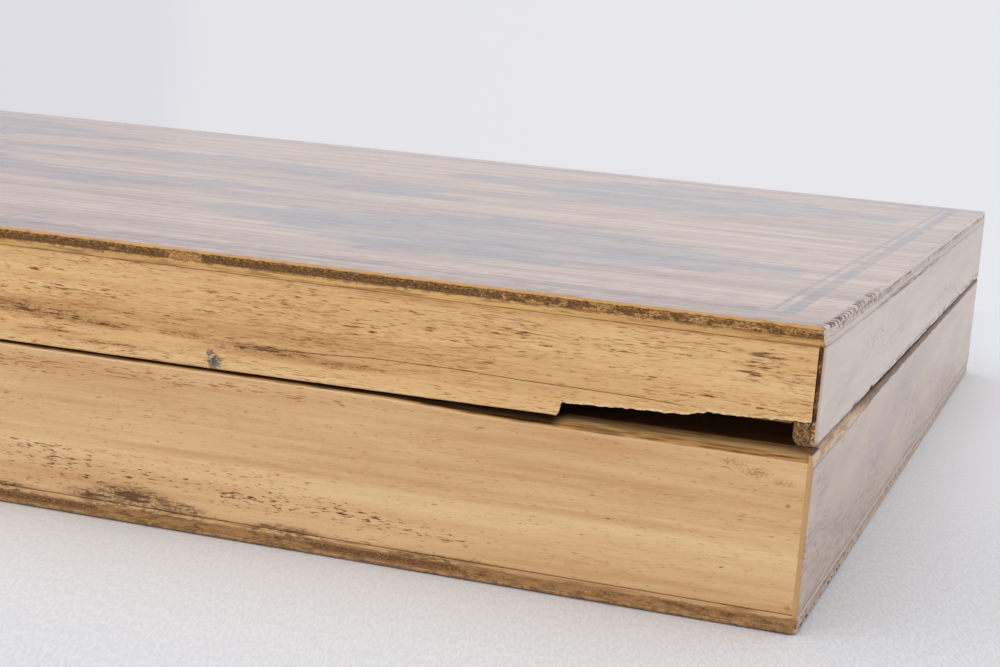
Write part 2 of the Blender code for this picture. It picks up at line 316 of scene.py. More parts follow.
class Wood:
    """Grain laid along one axis: shared noises that each finish combines."""

    def __init__(self, t, along, across, deep, seed=0.0):
        self.t = t
        self.u, self.v = along, across
        self.g = t.vec(along, across, deep)
        self.seed = seed

    def at(self, long_mm, wide_mm, shift=0.0):
        s = self.seed + shift
        return self.t.stretch(self.g, (1 / long_mm, 1 / wide_mm, 1 / wide_mm),
                              (s, s * 1.7, s * 0.6))

    def base(self, light, mid, dark, wide=1.0):
        """Board colour with broad bands, growth streaks and fine fibres."""
        t = self.t
        bands = t.noise(self.at(150 * wide, 7 * wide, 3.1), 2, 0.5, 0.3)
        streaks = t.noise(self.at(42, 1.5 * wide, 9.7), 4, 0.6)
        self.streaks = streaks
        tone = t.add(t.mul(bands, 0.55), t.mul(streaks, 0.45))
        colour = t.ramp(tone, [(0.36, dark), (0.50, mid), (0.64, light)])
        self.fibre = t.noise(self.at(9, 0.26, 4.4), 3, 0.6)
        shade = t.band(self.fibre, 0.30, 0.70)
        colour = t.mix(t.mul(t.inv(shade), 0.16), colour, dark)
        return t.mix(t.mul(shade, 0.14), colour, light)

    def pores(self, colour, tint=(176, 116, 60), amount=0.55, low=0.575):
        """Short warm ticks in loose groups."""
        t = self.t
        fine = t.noise(self.at(2.6, 0.17, 12.3), 1.5, 0.5)
        where = t.noise(self.at(26, 5, 15.9), 2, 0.5)
        mask = t.mul(t.band(fine, low, low + 0.09),
                     t.band(where, 0.40, 0.60))
        self.pore = mask
        return t.mix(t.mul(mask, amount), colour, tint)

    def flecks(self, colour, clusters, tint=(92, 58, 32), amount=0.9,
               base=0.70, pull=0.17, size=(3.2, 0.30), shift=21.0, soft=0.08,
               halo=0.0):
        """Dark ticks, denser where the clusters mask is high."""
        t = self.t
        n = t.noise(self.at(size[0], size[1], shift), 2.5, 0.6)
        level = t.sub(base, t.mul(clusters, pull))
        over = t.sub(n, level)
        mask = t.band(over, 0.0, soft)
        if halo:
            ring = t.band(over, -0.07, 0.02)
            colour = t.mix(t.mul(ring, halo), colour, (182, 122, 64))
        self.fleck = mask if not hasattr(self, "fleck") \
            else t.top(self.fleck, mask)
        return t.mix(t.mul(mask, amount), colour, tint)

    def threads(self, colour, tint, amount, low=0.54, size=(5.0, 0.20),
                shift=77.0):
        """Long thin streaks of warmer wood all over the board."""
        t = self.t
        n = t.noise(self.at(size[0], size[1], shift), 2.5, 0.6)
        where = t.noise(self.at(34, 3.2, shift + 3), 2, 0.5)
        mask = t.mul(t.band(n, low, low + 0.13), t.band(where, 0.36, 0.60))
        return t.mix(t.mul(mask, amount), colour, tint)


def varnished(t, wood, colour, rough=0.42, coat=0.55, coat_rough=0.2,
              extra_height=None, depth=0.05, specular=0.35):
    """Clear satin varnish over the grain."""
    height = t.add(t.mul(wood.fibre, 0.5), t.mul(wood.streaks, 0.6))
    if hasattr(wood, "fleck"):
        height = t.sub(height, t.mul(wood.fleck, 0.6))
    if extra_height is not None:
        height = t.add(height, extra_height)
    normal = t.bump(height, depth, 0.7)
    peel = t.noise(t.stretch(t.p, (0.09, 0.09, 0.09)), 2, 0.5)
    coat_normal = t.bump(t.add(peel, t.mul(height, 0.10)), 0.10, 0.5)
    return t.done(colour, rough, normal, coat=coat, coat_rough=coat_rough,
                  coat_normal=coat_normal, specular=specular)


RX = 200.0      # mm, case's opening side in this frame
LIGHT_W = (230, 193, 141)
MID_W = (216, 174, 119)
DARK_W = (191, 145, 90)


def make_lid_front():
    t = Tree("lid_front_wood")
    w = Wood(t, t.x, t.z, t.y, 0.0)
    c = w.base(LIGHT_W, MID_W, DARK_W)
    c = w.threads(c, (178, 118, 54), 0.66)
    c = w.pores(c, (150, 90, 36), 0.62, 0.55)
    c = w.threads(c, (226, 190, 140), 0.40, 0.56, (7.0, 0.34), 131.0)
    d = t.sub(t.x, RX)          # distance from the opening side, negative
    z = t.z
    # loose natural clusters of ticks over the whole board
    wide = t.band(t.noise(w.at(22, 3.0, 31.0), 2, 0.5), 0.40, 0.62)
    c = w.flecks(c, wide, (116, 68, 28), 0.80, 0.650, 0.070, (2.4, 0.27),
                 51.0, 0.12, 0.42)
    # strong groups beside the corner, through the middle and to the left
    hand = t.spots(d, z, [
        (-19.2, 44.8, 4.8, 1.5, 0.95), (-9.5, 44.8, 6.4, 0.8, 1.1),
        (-10.6, 43.7, 3.4, 0.8, 1.0), (-10.8, 42.6, 3.8, 0.9, 1.15),
        (-10.8, 41.6, 4.0, 0.8, 1.15), (-11.6, 40.4, 2.4, 0.7, 0.95),
        (-11.2, 39.3, 2.6, 0.6, 0.9), (-34.5, 42.4, 3.4, 0.6, 1.0),
        (-30.0, 45.0, 3.8, 0.6, 1.0), (-32.0, 39.2, 4.0, 0.6, 0.9),
        (-41.0, 38.0, 2.4, 0.5, 0.9), (-18.0, 36.9, 2.2, 0.4, 1.1),
        (-24.0, 36.6, 2.0, 0.4, 0.9), (-9.6, 36.2, 1.6, 0.4, 1.0),
        (-52.0, 43.5, 8.5, 1.5, 0.85), (-60.0, 40.0, 9.0, 1.4, 0.85),
        (-70.0, 44.0, 9.0, 1.3, 0.8), (-79.0, 40.5, 10.0, 1.7, 0.85),
        (-88.0, 37.3, 12.0, 1.4, 0.95), (-58.0, 37.5, 9.0, 0.9, 0.8),
        (-133.0, 40.8, 16.0, 2.0, 0.85), (-120.0, 38.0, 18.0, 2.0, 0.8),
        (-143.0, 44.0, 10.0, 1.6, 0.75), (-100.0, 43.0, 14.0, 2.2, 0.7),
        (-210.0, 39.0, 34.0, 2.6, 0.9), (-262.0, 43.0, 26.0, 1.8, 0.8),
        (-300.0, 37.0, 30.0, 2.2, 0.8), (-355.0, 41.0, 24.0, 2.6, 0.9)])
    # scraped, dirty bands along the lower part
    scrape = t.spots(d, z, [
        (-140.0, 36.1, 15.0, 1.5, 1.25), (-146.0, 36.9, 9.0, 1.2, 1.3),
        (-128.0, 35.3, 11.0, 1.0, 1.2), (-97.0, 34.5, 15.0, 1.25, 1.25),
        (-94.5, 34.5, 5.0, 1.0, 1.5), (-112.0, 35.4, 8.0, 0.9, 1.15),
        (-126.0, 31.9, 13.0, 0.7, 0.95), (-138.0, 33.0, 9.0, 0.6, 0.9),
        (-82.0, 33.8, 10.0, 0.9, 1.2), (-160.0, 36.5, 16.0, 1.2, 1.1),
        (-185.0, 34.2, 18.0, 1.4, 1.0), (-245.0, 35.5, 22.0, 1.2, 1.0),
        (-330.0, 33.5, 26.0, 1.6, 1.0)])
    dense = t.top(hand, scrape)
    c = t.mix(t.mul(t.low(scrape, 1.0), 0.34), c, (150, 104, 56))
    c = w.flecks(c, dense, (82, 46, 16), 0.90, 0.70, 0.175, (2.7, 0.36),
                 21.0, 0.12, 0.50)
    grit = t.noise(t.stretch(t.p, (2.4, 2.4, 3.6)), 3, 0.65)
    rough_band = t.mul(t.band(scrape, 0.45, 1.2), t.band(grit, 0.48, 0.60))
    c = t.mix(t.mul(rough_band, 0.55), c, (94, 60, 32))
    # a few long ticks
    dash = t.spots(d, z, [
        (-22.5, 43.2, 1.4, 0.18, 1.0), (-18.4, 37.1, 1.6, 0.2, 1.1),
        (-33.6, 42.5, 2.0, 0.22, 1.1), (-12.0, 41.8, 2.6, 0.24, 1.0),
        (-9.0, 44.6, 3.8, 0.26, 1.1), (-27.5, 38.9, 1.1, 0.18, 1.0),
        (-9.6, 36.2, 0.9, 0.18, 1.0), (-46.0, 41.7, 1.8, 0.2, 1.0),
        (-10.8, 42.8, 3.0, 0.22, 1.0), (-66.0, 42.2, 2.0, 0.2, 0.9),
        (-108.0, 40.0, 3.2, 0.22, 0.9)])
    ragged = t.noise(w.at(1.2, 0.16, 5.0), 2, 0.6)
    dash = t.mul(t.band(dash, 0.10, 0.75), t.band(ragged, 0.32, 0.52))
    c = t.mix(t.mul(dash, 0.85), c, (84, 48, 24))
    # blue-grey touch of print colour that ran over the edge
    ink = t.spots(d, z, [(-105.6, 31.2, 2.2, 1.8, 1.0),
                         (-106.6, 32.8, 1.2, 1.1, 0.9)])
    blot = t.noise(t.stretch(t.p, (1.5, 1.5, 2.6)), 4, 0.72)
    ink = t.band(t.add(t.mul(ink, 0.42), blot), 0.66, 0.86)
    ink = t.mul(ink, t.spot(d, z, -105.9, 31.7, 3.2, 2.8))
    c = t.mix(t.mul(ink, 0.95), c, (66, 70, 80))
    # stain near the upper edge, under the panel
    under = t.mul(t.band(z, 46.2, 47.1), 0.25)
    c = t.mix(under, c, (150, 100, 56))
    # fresh fibres along the torn edge; the torn-back surface darker, partly dirt and partly painted
    # shade of the recess; dark line in the crack
    torn = t.attribute("torn")
    fray = t.noise(t.stretch(t.p, (1.1, 1.0, 3.0)), 3, 0.66)
    torn = t.mul(t.band(torn, 0.0, 0.8), t.band(fray, 0.38, 0.60))
    c = t.mix(t.mul(torn, 0.8), c, (234, 206, 162))
    c = t.mix(t.attribute("torn_back_dirt_and_shade"), c, (104, 74, 48))
    crack = t.attribute("crack")
    c = t.mix(t.band(crack, 0.25, 0.75), c, (84, 60, 42))
    hidden = t.attribute("torn_back_dirt_and_shade")
    return varnished(t, w, c, 0.44, t.mul(t.inv(hidden), 0.22), 0.24, None,
                     0.06, 0.2)


def make_base_front():
    t = Tree("base_front_wood")
    w = Wood(t, t.x, t.z, t.y, 5.0)
    c = w.base((224, 190, 144), (213, 175, 127), (196, 152, 103), 1.3)
    d = t.sub(t.x, RX)
    z = t.z
    left = t.band(d, -30.0, -110.0)
    c = w.threads(c, (200, 146, 90), 0.40, 0.56)
    c = w.pores(c, (186, 126, 74), 0.42, 0.585)
    # warm ticks under the rim
    warm = t.spots(d, z, [
        (-146.0, 26.4, 22.0, 2.6, 1.0), (-120.0, 27.0, 26.0, 1.6, 0.9),
        (-98.0, 27.3, 26.0, 1.2, 0.85), (-190.0, 26.2, 34.0, 2.4, 0.9),
        (-148.0, 19.5, 10.0, 1.8, 0.6), (-290.0, 26.6, 60.0, 1.8, 0.8)])
    c = w.flecks(c, warm, (160, 94, 44), 0.8, 0.665, 0.16, (2.6, 0.34), 3.0,
                 0.09, 0.2)
    # faint reddish band
    red = t.mul(t.band(z, 13.0, 14.6), t.band(z, 17.0, 15.2))
    red = t.mul(red, t.band(t.noise(w.at(60, 2.0, 2.0), 3, 0.5), 0.40, 0.60))
    c = t.mix(t.mul(red, 0.42), c, (184, 128, 92))
    # ticks, lower left, thinning towards the corner
    thin = t.band(t.noise(w.at(18, 2.4, 8.0), 2, 0.5), 0.38, 0.60)
    low = t.mul(t.band(z, 15.0, 11.0), left)
    c = w.flecks(c, t.mul(low, thin), (128, 78, 38), 0.78, 0.68, 0.085,
                 (1.7, 0.28), 61.0, 0.08, 0.2)
    dark = t.spots(d, z, [
        (-133.0, 9.8, 14.0, 3.4, 1.05), (-141.0, 11.8, 10.0, 1.8, 1.0),
        (-118.0, 9.0, 15.0, 2.4, 1.0), (-126.0, 7.4, 12.0, 1.8, 1.0),
        (-98.0, 8.0, 16.0, 2.6, 0.9), (-78.0, 7.8, 14.0, 2.8, 0.9),
        (-62.0, 7.0, 10.0, 2.4, 0.75), (-170.0, 10.5, 26.0, 3.6, 1.0),
        (-230.0, 8.0, 40.0, 3.0, 0.9), (-330.0, 10.0, 50.0, 4.0, 0.9),
        (-34.0, 14.5, 5.0, 1.0, 0.5), (-11.0, 18.5, 4.0, 0.7, 0.7)])
    c = w.flecks(c, t.mul(dark, t.add(0.62, t.mul(thin, 0.45))),
                 (80, 46, 22), 0.93, 0.71, 0.185, (2.0, 0.33), 14.0, 0.08,
                 0.35)
    # grime along the foot
    grime = t.spots(d, z, [
        (-121.0, 4.9, 11.0, 2.6, 1.3), (-113.0, 4.2, 9.0, 1.4, 1.2),
        (-129.0, 4.2, 7.0, 1.6, 1.1), (-90.0, 3.4, 8.5, 1.2, 1.25),
        (-205.0, 4.2, 26.0, 1.6, 1.2), (-300.0, 4.4, 34.0, 2.0, 1.2),
        (-60.0, 3.2, 18.0, 0.7, 1.0), (-148.0, 3.5, 10.0, 0.8, 1.1)])
    c = t.mix(t.mul(t.low(grime, 1.0), 0.30), c, (150, 104, 62))
    c = w.flecks(c, grime, (78, 48, 26), 0.9, 0.70, 0.20, (3.4, 0.45),
                 33.0, 0.09)
    grit = t.noise(t.stretch(t.p, (1.5, 2.4, 3.2)), 3.5, 0.65)
    gritty = t.mul(t.band(grime, 0.30, 1.1), t.band(grit, 0.46, 0.60))
    c = t.mix(t.mul(gritty, 0.7), c, (88, 56, 28))
    c = t.mix(t.mul(foot_grime(t, d, z), 0.6), c, (100, 66, 34))
    # smudge of specks beside the corner
    smudge = t.spots(d, z, [(-13.5, 26.9, 3.4, 0.8, 1.0),
                            (-9.0, 25.7, 3.4, 1.2, 1.1),
                            (-4.6, 24.6, 2.8, 0.9, 0.9),
                            (-3.5, 21.0, 0.6, 0.5, 1.5),
                            (-1.8, 4.3, 0.7, 0.6, 1.5)])
    speck = t.noise(t.stretch(t.p, (1.9, 1.9, 4.2)), 3, 0.65)
    smudge = t.band(t.add(t.mul(smudge, 0.26), speck), 0.64, 0.82)
    c = t.mix(t.mul(smudge, 0.6), c, (140, 98, 62))
    # worn rim: painted arris highlight, brown rounding, greyer behind it, painted shade where the
    # lid covers it and further inside
    rise = t.mul(t.band(d, -48.0, -78.0), 0.85)
    rim_z = t.sub(z, rise)
    # painted highlight: thin pale line along the rim's arris, stronger to the left
    line = t.mul(t.band(rim_z, 27.95, 28.15), t.band(rim_z, 28.45, 28.25))
    c = t.mix(t.mul(line, t.add(0.10, t.mul(left, 0.40))), c,
              (240, 208, 164))
    rim_noise = t.noise(w.at(7, 0.5, 90.0), 3, 0.6)
    brown = t.mix(t.band(rim_noise, 0.38, 0.60), (104, 68, 28),
                  (188, 138, 76))
    c = t.mix(t.mul(t.band(rim_z, 28.22, 28.5), 0.95), c, brown)
    grey_top = t.mix(t.band(rim_noise, 0.34, 0.66), (168, 124, 76),
                     (218, 180, 128))
    back = t.band(t.add(t.y, t.mul(t.sub(rim_noise, 0.5), 0.9)), -158.7,
                  -158.2)
    c = t.mix(t.mul(back, 0.9), c, grey_top)
    # painted shade: dark brown where the lid covers the rim
    painted_lid_shade = t.mul(t.band(rim_z, 28.45, 28.75), t.band(d, -41.5, -44.5))
    c = t.mix(t.mul(painted_lid_shade, 0.9), c, (44, 29, 16))
    # painted shade: darker behind the rim, inside the opening
    deep = t.band(t.y, -153.6, -152.6)
    c = t.mix(t.mul(deep, 0.8), c, (58, 42, 28))
    # the painted-shade zones also lose coat and specular
    hidden = t.top(painted_lid_shade, deep)
    edge = t.mul(t.band(z, 4.2, 3.2), 0.35)
    c = t.mix(edge, c, (160, 112, 68))
    return varnished(t, w, c, 0.42, t.mul(t.inv(hidden), 0.26), 0.22, None,
                     0.05, t.mul(t.inv(hidden), 0.22))


def side_tone(t, w):
    """Shared look of the short sides, panel edges included: a pale greyish tone that is partly the
    wood's own and partly painted reflection of the varnish.
    """
    # greyer than the long rails: part wood tone, part painted varnish reflection
    c = w.base((206, 184, 166), (194, 170, 150), (174, 149, 130), 2.6)
    stain = t.noise(w.at(60, 9, 51.0), 3, 0.55)
    c = t.mix(t.mul(t.band(stain, 0.52, 0.70), 0.45), c, (154, 132, 124))
    return c, stain


def make_side_rail():
    """Short sides: smooth varnish, scuffs, grime and end grain."""
    t = Tree("side_rail_wood")
    w = Wood(t, t.y, t.z, t.x, 0.0)
    c, stain = side_tone(t, w)
    group = t.band(t.noise(w.at(30, 8.0, 31.0), 2, 0.5), 0.40, 0.58)
    low_board = t.band(t.z, 29.9, 29.7)
    c = t.mix(t.mul(low_board, 0.45), c, t.mix(t.band(stain, 0.40, 0.60),
                                               (190, 158, 124),
                                               (164, 134, 110)))
    c = w.flecks(c, t.mul(group, t.add(0.6, t.mul(low_board, 0.35))),
                 (112, 80, 58), 0.7, 0.70, 0.14, (1.1, 0.42), 21.0, 0.09,
                 0.0)
    f = t.add(t.y, 159.5)       # distance from the front
    broken = t.noise(w.at(9, 0.9, 40.0), 3, 0.6)
    # darker, violet-brown lower boards and smudges near the foot
    smudge = t.spots(f, t.z, [
        (168.0, 5.0, 30.0, 5.0, 1.2), (120.0, 22.0, 34.0, 3.5, 0.7),
        (150.0, 17.0, 26.0, 5.0, 0.8), (60.0, 9.0, 44.0, 4.0, 0.8),
        (20.0, 6.0, 16.0, 3.0, 0.7), (240.0, 8.0, 50.0, 6.0, 0.9),
        (100.0, 38.0, 40.0, 2.5, 0.6), (32.0, 38.0, 14.0, 2.5, 0.6),
        (14.0, 21.0, 9.0, 2.2, 0.9), (34.0, 11.0, 16.0, 3.4, 0.9),
        (84.0, 14.0, 20.0, 3.2, 0.9), (76.0, 5.0, 30.0, 2.4, 0.9),
        (200.0, 36.0, 46.0, 3.0, 0.7)])
    c = t.mix(t.mul(smudge, t.mul(t.band(broken, 0.38, 0.60), 0.65)), c,
              (124, 92, 70))
    streaks = t.noise(t.stretch(t.p, (0.3, 0.24, 1.7), (7, 3, 5)), 3, 0.6)
    dirty = t.spots(f, t.z, [
        (12.0, 13.0, 20.0, 8.0, 1.2), (40.0, 8.0, 26.0, 5.0, 1.1),
        (86.0, 9.0, 34.0, 6.0, 0.9), (10.0, 24.0, 10.0, 2.4, 1.0),
        (70.0, 41.0, 30.0, 3.0, 0.8), (150.0, 12.0, 40.0, 6.0, 0.8)])
    c = t.mix(t.mul(t.band(dirty, 0.10, 0.90),
                    t.mul(t.band(streaks, 0.53, 0.62), 0.80)), c,
              (104, 82, 74))
    foot = t.mul(t.band(t.z, 7.0, 3.0), 0.26)
    c = t.mix(t.mul(t.band(t.add(broken, foot), 0.60, 0.84), 0.6), c,
              (116, 86, 62))
    # dark glue groove below the panel
    groove = t.mul(t.band(t.z, 46.4, 46.95),
                   t.add(0.30, t.mul(t.spot(f, 0.0, 118.0, 0.0, 66.0, 9.0),
                                     0.70)))
    c = t.mix(t.mul(groove, t.band(broken, 0.42, 0.56)), c, (84, 62, 46))
    # worn edges either side of the seam
    low_part = t.band(t.z, 29.84, 29.74)
    near = t.band(f, 75.0, 45.0)
    over = t.sub(t.z, t.add(27.7, t.mul(t.band(f, 20.0, 110.0), 1.0)))
    ragged = t.mul(t.sub(broken, 0.5), 0.8)
    rim = t.mul(t.band(t.add(over, ragged), -0.15, 0.25), low_part)
    c = t.mix(t.mul(rim, 0.9), c,
              t.mix(near, t.mix(t.band(broken, 0.4, 0.6), (70, 40, 14),
                                (126, 82, 38)),
                    t.mix(t.band(broken, 0.4, 0.6), (176, 142, 104),
                          (218, 190, 156))))
    line = t.mul(t.band(over, -0.28, -0.04), t.band(over, 0.24, 0.02))
    c = t.mix(t.mul(t.mul(line, t.band(broken, 0.40, 0.50)), 0.8), c,
              (84, 60, 42))
    c = t.mix(t.mul(t.mul(t.band(t.z, 29.45, 29.65), low_part), 0.8), c,
              (96, 70, 46))
    lip = t.mul(t.mul(t.band(t.z, 32.6, 31.0), t.band(t.z, 29.76, 29.86)),
                t.band(broken, 0.42, 0.58))
    c = t.mix(t.mul(lip, 0.75), c, (104, 70, 38))
    matte = t.top(t.top(rim, lip), t.mul(groove, 0.7))
    # fine handling scratches
    s1 = t.stretch(w.g, (1 / 9.0, 1 / 16.0, 0.1), (3, 9, 1))
    scratch = t.noise(s1, 1.0, 0.5, 2.5)
    line = t.mul(t.band(scratch, 0.496, 0.50), t.band(scratch, 0.506, 0.50))
    line = t.mul(line, t.band(stain, 0.45, 0.6))
    c = t.mix(t.mul(line, 0.3), c, (130, 102, 80))
    # end faces: dark open grain on the lid, golden on the base
    end = t.top(t.band(t.y, -159.05, -159.38), t.band(t.y, 159.05, 159.38))
    end = t.mul(end, t.top(t.band(t.math("ABSOLUTE", t.x), 199.72, 199.45),
                           low_part))
    grain = t.noise(t.stretch(t.p, (3.2, 4.5, 0.9)), 3, 0.65)
    dark_end = t.ramp(grain, [(0.36, (50, 28, 14)), (0.50, (88, 54, 30)),
                              (0.62, (156, 110, 70))])
    rough_end = t.ramp(t.noise(t.stretch(t.p, (2.2, 2.2, 2.0)), 4, 0.74),
                       [(0.40, (78, 52, 30)), (0.5, (142, 104, 66)),
                        (0.60, (206, 168, 122))])
    gold = t.mix(grain, (182, 142, 96), (198, 160, 112))
    endc = t.mix(t.band(t.z, 35.4, 34.6), dark_end, rough_end)
    endc = t.mix(t.band(t.z, 30.0, 29.8), endc, gold)
    c = t.mix(end, c, endc)
    smooth = t.mul(t.inv(end), t.inv(matte))
    return varnished(t, w, c, 0.42, t.add(0.08, t.mul(smooth, 0.62)), 0.28,
                     t.mul(line, -0.8), 0.04,
                     t.add(0.12, t.mul(smooth, 0.30)))


def make_plain_rail(name, seed):
    """Long back rails, as the front but without its history."""
    t = Tree(name)
    w = Wood(t, t.x, t.z, t.y, seed)
    c = w.base((230, 190, 136), (216, 172, 116), (198, 150, 94), 1.2)
    c = w.threads(c, (192, 136, 76), 0.5)
    c = w.pores(c, (178, 120, 64), 0.5)
    group = t.band(t.noise(w.at(30, 4.0, 31.0), 2, 0.5), 0.42, 0.62)
    c = w.flecks(c, group, (104, 68, 38), 0.85, 0.70, 0.14, (3.0, 0.32),
                 21.0, 0.085, 0.3)
    broken = t.noise(w.at(6, 0.8, 40.0), 3, 0.6)
    foot = t.mul(t.band(t.z, 8.0, 3.0), 0.30)
    c = t.mix(t.mul(t.band(t.add(broken, foot), 0.62, 0.86), 0.6), c,
              (116, 80, 50))
    under = t.mul(t.band(t.z, 44.6, 47.0), 0.24)
    c = t.mix(t.mul(t.band(t.add(broken, under), 0.66, 0.86), 0.5), c,
              (112, 78, 48))
    seam = t.mul(t.band(t.z, 28.3, 29.1), t.band(t.z, 31.4, 30.4))
    c = t.mix(t.mul(seam, 0.6), c, (104, 72, 42))
    return varnished(t, w, c, 0.42, 0.55, 0.22)


def handled(t):
    """How far the lid's worn front corner stands back from the side, mm."""
    f = t.add(t.y, 159.5)
    back = t.mul(t.band(f, 0.35, 1.1), t.band(f, 11.0, 0.0))
    return t.mul(t.mul(back, t.band(t.x, 196.0, 197.0)),
                 t.band(t.z, 47.0, 48.6))


def side_mask(t):
    """1 on the panel edges that face the short sides of the case."""
    return t.band(t.add(t.math("ABSOLUTE", t.x), handled(t)), 199.72, 199.86)


def make_face(name, printed):
    """Outer veneer of a panel, grain along X, with a worn generic border."""
    t = Tree(name)
    w = Wood(t, t.x, t.y, t.z, 2.0 if printed else 7.0)
    if printed:
        c = w.base((208, 174, 144), (176, 140, 110), (120, 84, 62), 1.6)
    else:
        c = w.base((220, 182, 134), (202, 160, 112), (180, 136, 90), 2.0)
    if printed:
        c = w.threads(c, (190, 128, 74), 0.5, 0.53, (22.0, 0.55))
        streak = t.noise(w.at(46, 0.9, 17.0), 4, 0.65)
        c = t.mix(t.mul(t.band(streak, 0.52, 0.64), 0.70), c, (96, 64, 48))
        pale = t.noise(w.at(60, 1.6, 27.0), 3, 0.6)
        c = t.mix(t.mul(t.band(pale, 0.55, 0.70), 0.45), c, (222, 196, 170))
        wide = t.noise(w.at(150, 16, 63.0), 2, 0.5)
        c = t.mix(t.mul(t.band(wide, 0.52, 0.64), 0.45), c, (136, 98, 80))
    group = t.band(t.noise(w.at(34, 7.0, 31.0), 2, 0.5), 0.42, 0.60)
    front = t.band(t.y, -105.0, -150.0)
    c = w.flecks(c, t.top(t.mul(group, 0.8), t.mul(front, 0.9)),
                 (84, 52, 34), 0.85, 0.68, 0.16, (5.5, 0.34), 21.0, 0.08)
    if printed:
        wear = t.noise(w.at(10, 0.40, 71.0), 3, 0.65)
        blot = t.noise(t.stretch(t.p, (0.035, 0.05, 0.05)), 3, 0.6)
        ax = t.math("ABSOLUTE", t.x)
        ay = t.math("ABSOLUTE", t.y)
        rim = t.low(t.sub(200.0, ax), t.sub(156.6, ay))
        rim = t.add(rim, t.mul(t.sub(t.noise(t.stretch(
            t.p, (1.1, 1.1, 1.1)), 2, 0.5), 0.5), 0.35))
        thick = t.mul(t.band(rim, 7.30, 7.60), t.band(rim, 10.15, 9.85))
        thin = t.mul(t.band(rim, 11.20, 11.45), t.band(rim, 12.35, 12.10))
        worn = t.mul(t.band(wear, 0.34, 0.56), t.add(0.45, t.mul(
            t.band(blot, 0.34, 0.58), 0.55)))
        c = t.mix(t.mul(t.top(thick, thin), t.mul(worn, 0.98)), c,
                  (34, 54, 84))

        # stepped lozenges, one in each quarter and one in the middle
        def stepped(u, v, cu, cv, cell, count):
            du = t.math("ABSOLUTE", t.sub(u, cu))
            dv = t.math("ABSOLUTE", t.sub(v, cv))
            qu = t.math("FLOOR", t.math("DIVIDE", du, cell * 1.35))
            qv = t.math("FLOOR", t.math("DIVIDE", dv, cell))
            s = t.add(qu, qv)
            solid = t.band(s, count + 0.6, count + 0.4)
            ring = t.mul(t.band(s, count - 0.6, count - 0.4), solid)
            return solid, ring
        shift = t.mul(t.sub(t.noise(t.stretch(t.p, (0.12, 1.1, 0.5)), 3, 0.66),
                            0.5), 13.0)
        small = t.mul(shift, 0.18)
        quarter, ring_q = stepped(t.add(ax, shift), t.add(ay, small), 118.0,
                                  82.0, 9.6, 4)
        middle, ring_m = stepped(t.add(t.x, shift), t.add(t.y, small), 0.0,
                                 0.0, 9.0, 6)
        inner, _ = stepped(t.add(t.x, shift), t.add(t.y, small), 0.0, 0.0,
                           9.0, 3)
        shape = t.top(quarter, t.mul(t.sub(middle, inner), 0.9))
        fade = t.mul(t.band(wear, 0.34, 0.62), t.band(blot, 0.34, 0.60))
        c = t.mix(t.mul(shape, t.add(0.24, t.mul(fade, 0.66))), c,
                  (60, 76, 98))
        stray = t.mul(t.band(blot, 0.52, 0.66), t.band(wear, 0.42, 0.64))
        c = t.mix(t.mul(stray, 0.30), c, (84, 92, 112))
        edge = t.mul(t.top(ring_q, ring_m), t.band(wear, 0.42, 0.6))
        c = t.mix(t.mul(edge, 0.12), c, (70, 80, 104))
    # worn arrises: bare golden wood all round, brown ticks at the ends
    end_d = t.sub(t.sub(200.0, t.math("ABSOLUTE", t.x)),
                  t.mul(handled(t), 0.9))
    long_d = t.sub(159.5, t.math("ABSOLUTE", t.y))
    ragged = t.noise(t.stretch(t.p, (0.9, 0.9, 0.9)), 3, 0.6)
    bare = t.band(t.add(long_d, t.mul(ragged, 0.7)), 1.0, 0.5)
    c = t.mix(t.mul(bare, 0.9), c, (204, 154, 88) if printed else
              t.mix(t.band(ragged, 0.4, 0.6), (126, 90, 54),
                    (176, 134, 86)))
    if not printed:
        grime = foot_grime(t, t.sub(t.x, RX), t.add(t.z, 1.0))
        c = t.mix(t.mul(grime, 0.6), c, (104, 70, 38))
    if printed:
        # the core's grime creeps over the veneer's lower edge
        creep = t.add(t.sub(t.z, 49.95), t.mul(t.sub(ragged, 0.5), -1.1))
        low_edge = t.mul(t.band(creep, 0.10, -0.12), t.band(long_d, 0.4, 0.1))
        low_edge = t.mul(low_edge, t.band(end_d, 2.0, 9.0))
        c = t.mix(t.mul(low_edge, 0.75), c, (104, 72, 42))
    w2 = Wood(t, t.y, t.z, t.x, 0.0)
    side, _ = side_tone(t, w2)
    c = t.mix(t.mul(t.band(end_d, 0.42, 0.22), t.band(long_d, 0.15, 0.7)), c,
              side)
    tick = t.noise(t.stretch(t.p, (0.34, 0.62, 0.5), (4, 4, 4)), 2.5, 0.62)
    toward = t.add(0.30, t.mul(t.band(t.y, -70.0, -118.0), 0.70))
    ends = t.mul(t.mul(t.band(end_d, 1.7, 0.9), t.band(long_d, 0.5, 1.8)),
                 t.band(tick, t.sub(0.56, t.mul(toward, 0.07)),
                        t.sub(0.62, t.mul(toward, 0.08))))
    ends = t.mul(ends, toward)
    c = t.mix(ends, c, (78, 48, 26))
    fine = w.fleck
    # shallow scratches in the varnish
    s1 = t.noise(t.stretch(t.p, (0.035, 0.012, 0.02), (1, 5, 2)), 1, 0.5, 3.0)
    hair = t.mul(t.band(s1, 0.4985, 0.5), t.band(s1, 0.5015, 0.5))
    open_wood = t.top(t.mul(bare, 0.7), t.top(ends, t.mul(fine, 0.35)))
    coat = t.mul(t.sub(1.0, open_wood), 0.78 if printed else 0.4)
    return varnished(t, w, c, 0.40, coat, 0.17 if printed else 0.3,
                     t.mul(hair, -0.5), 0.08, t.mul(t.sub(1.0, t.mul(
                         open_wood, 0.5)), 0.35))


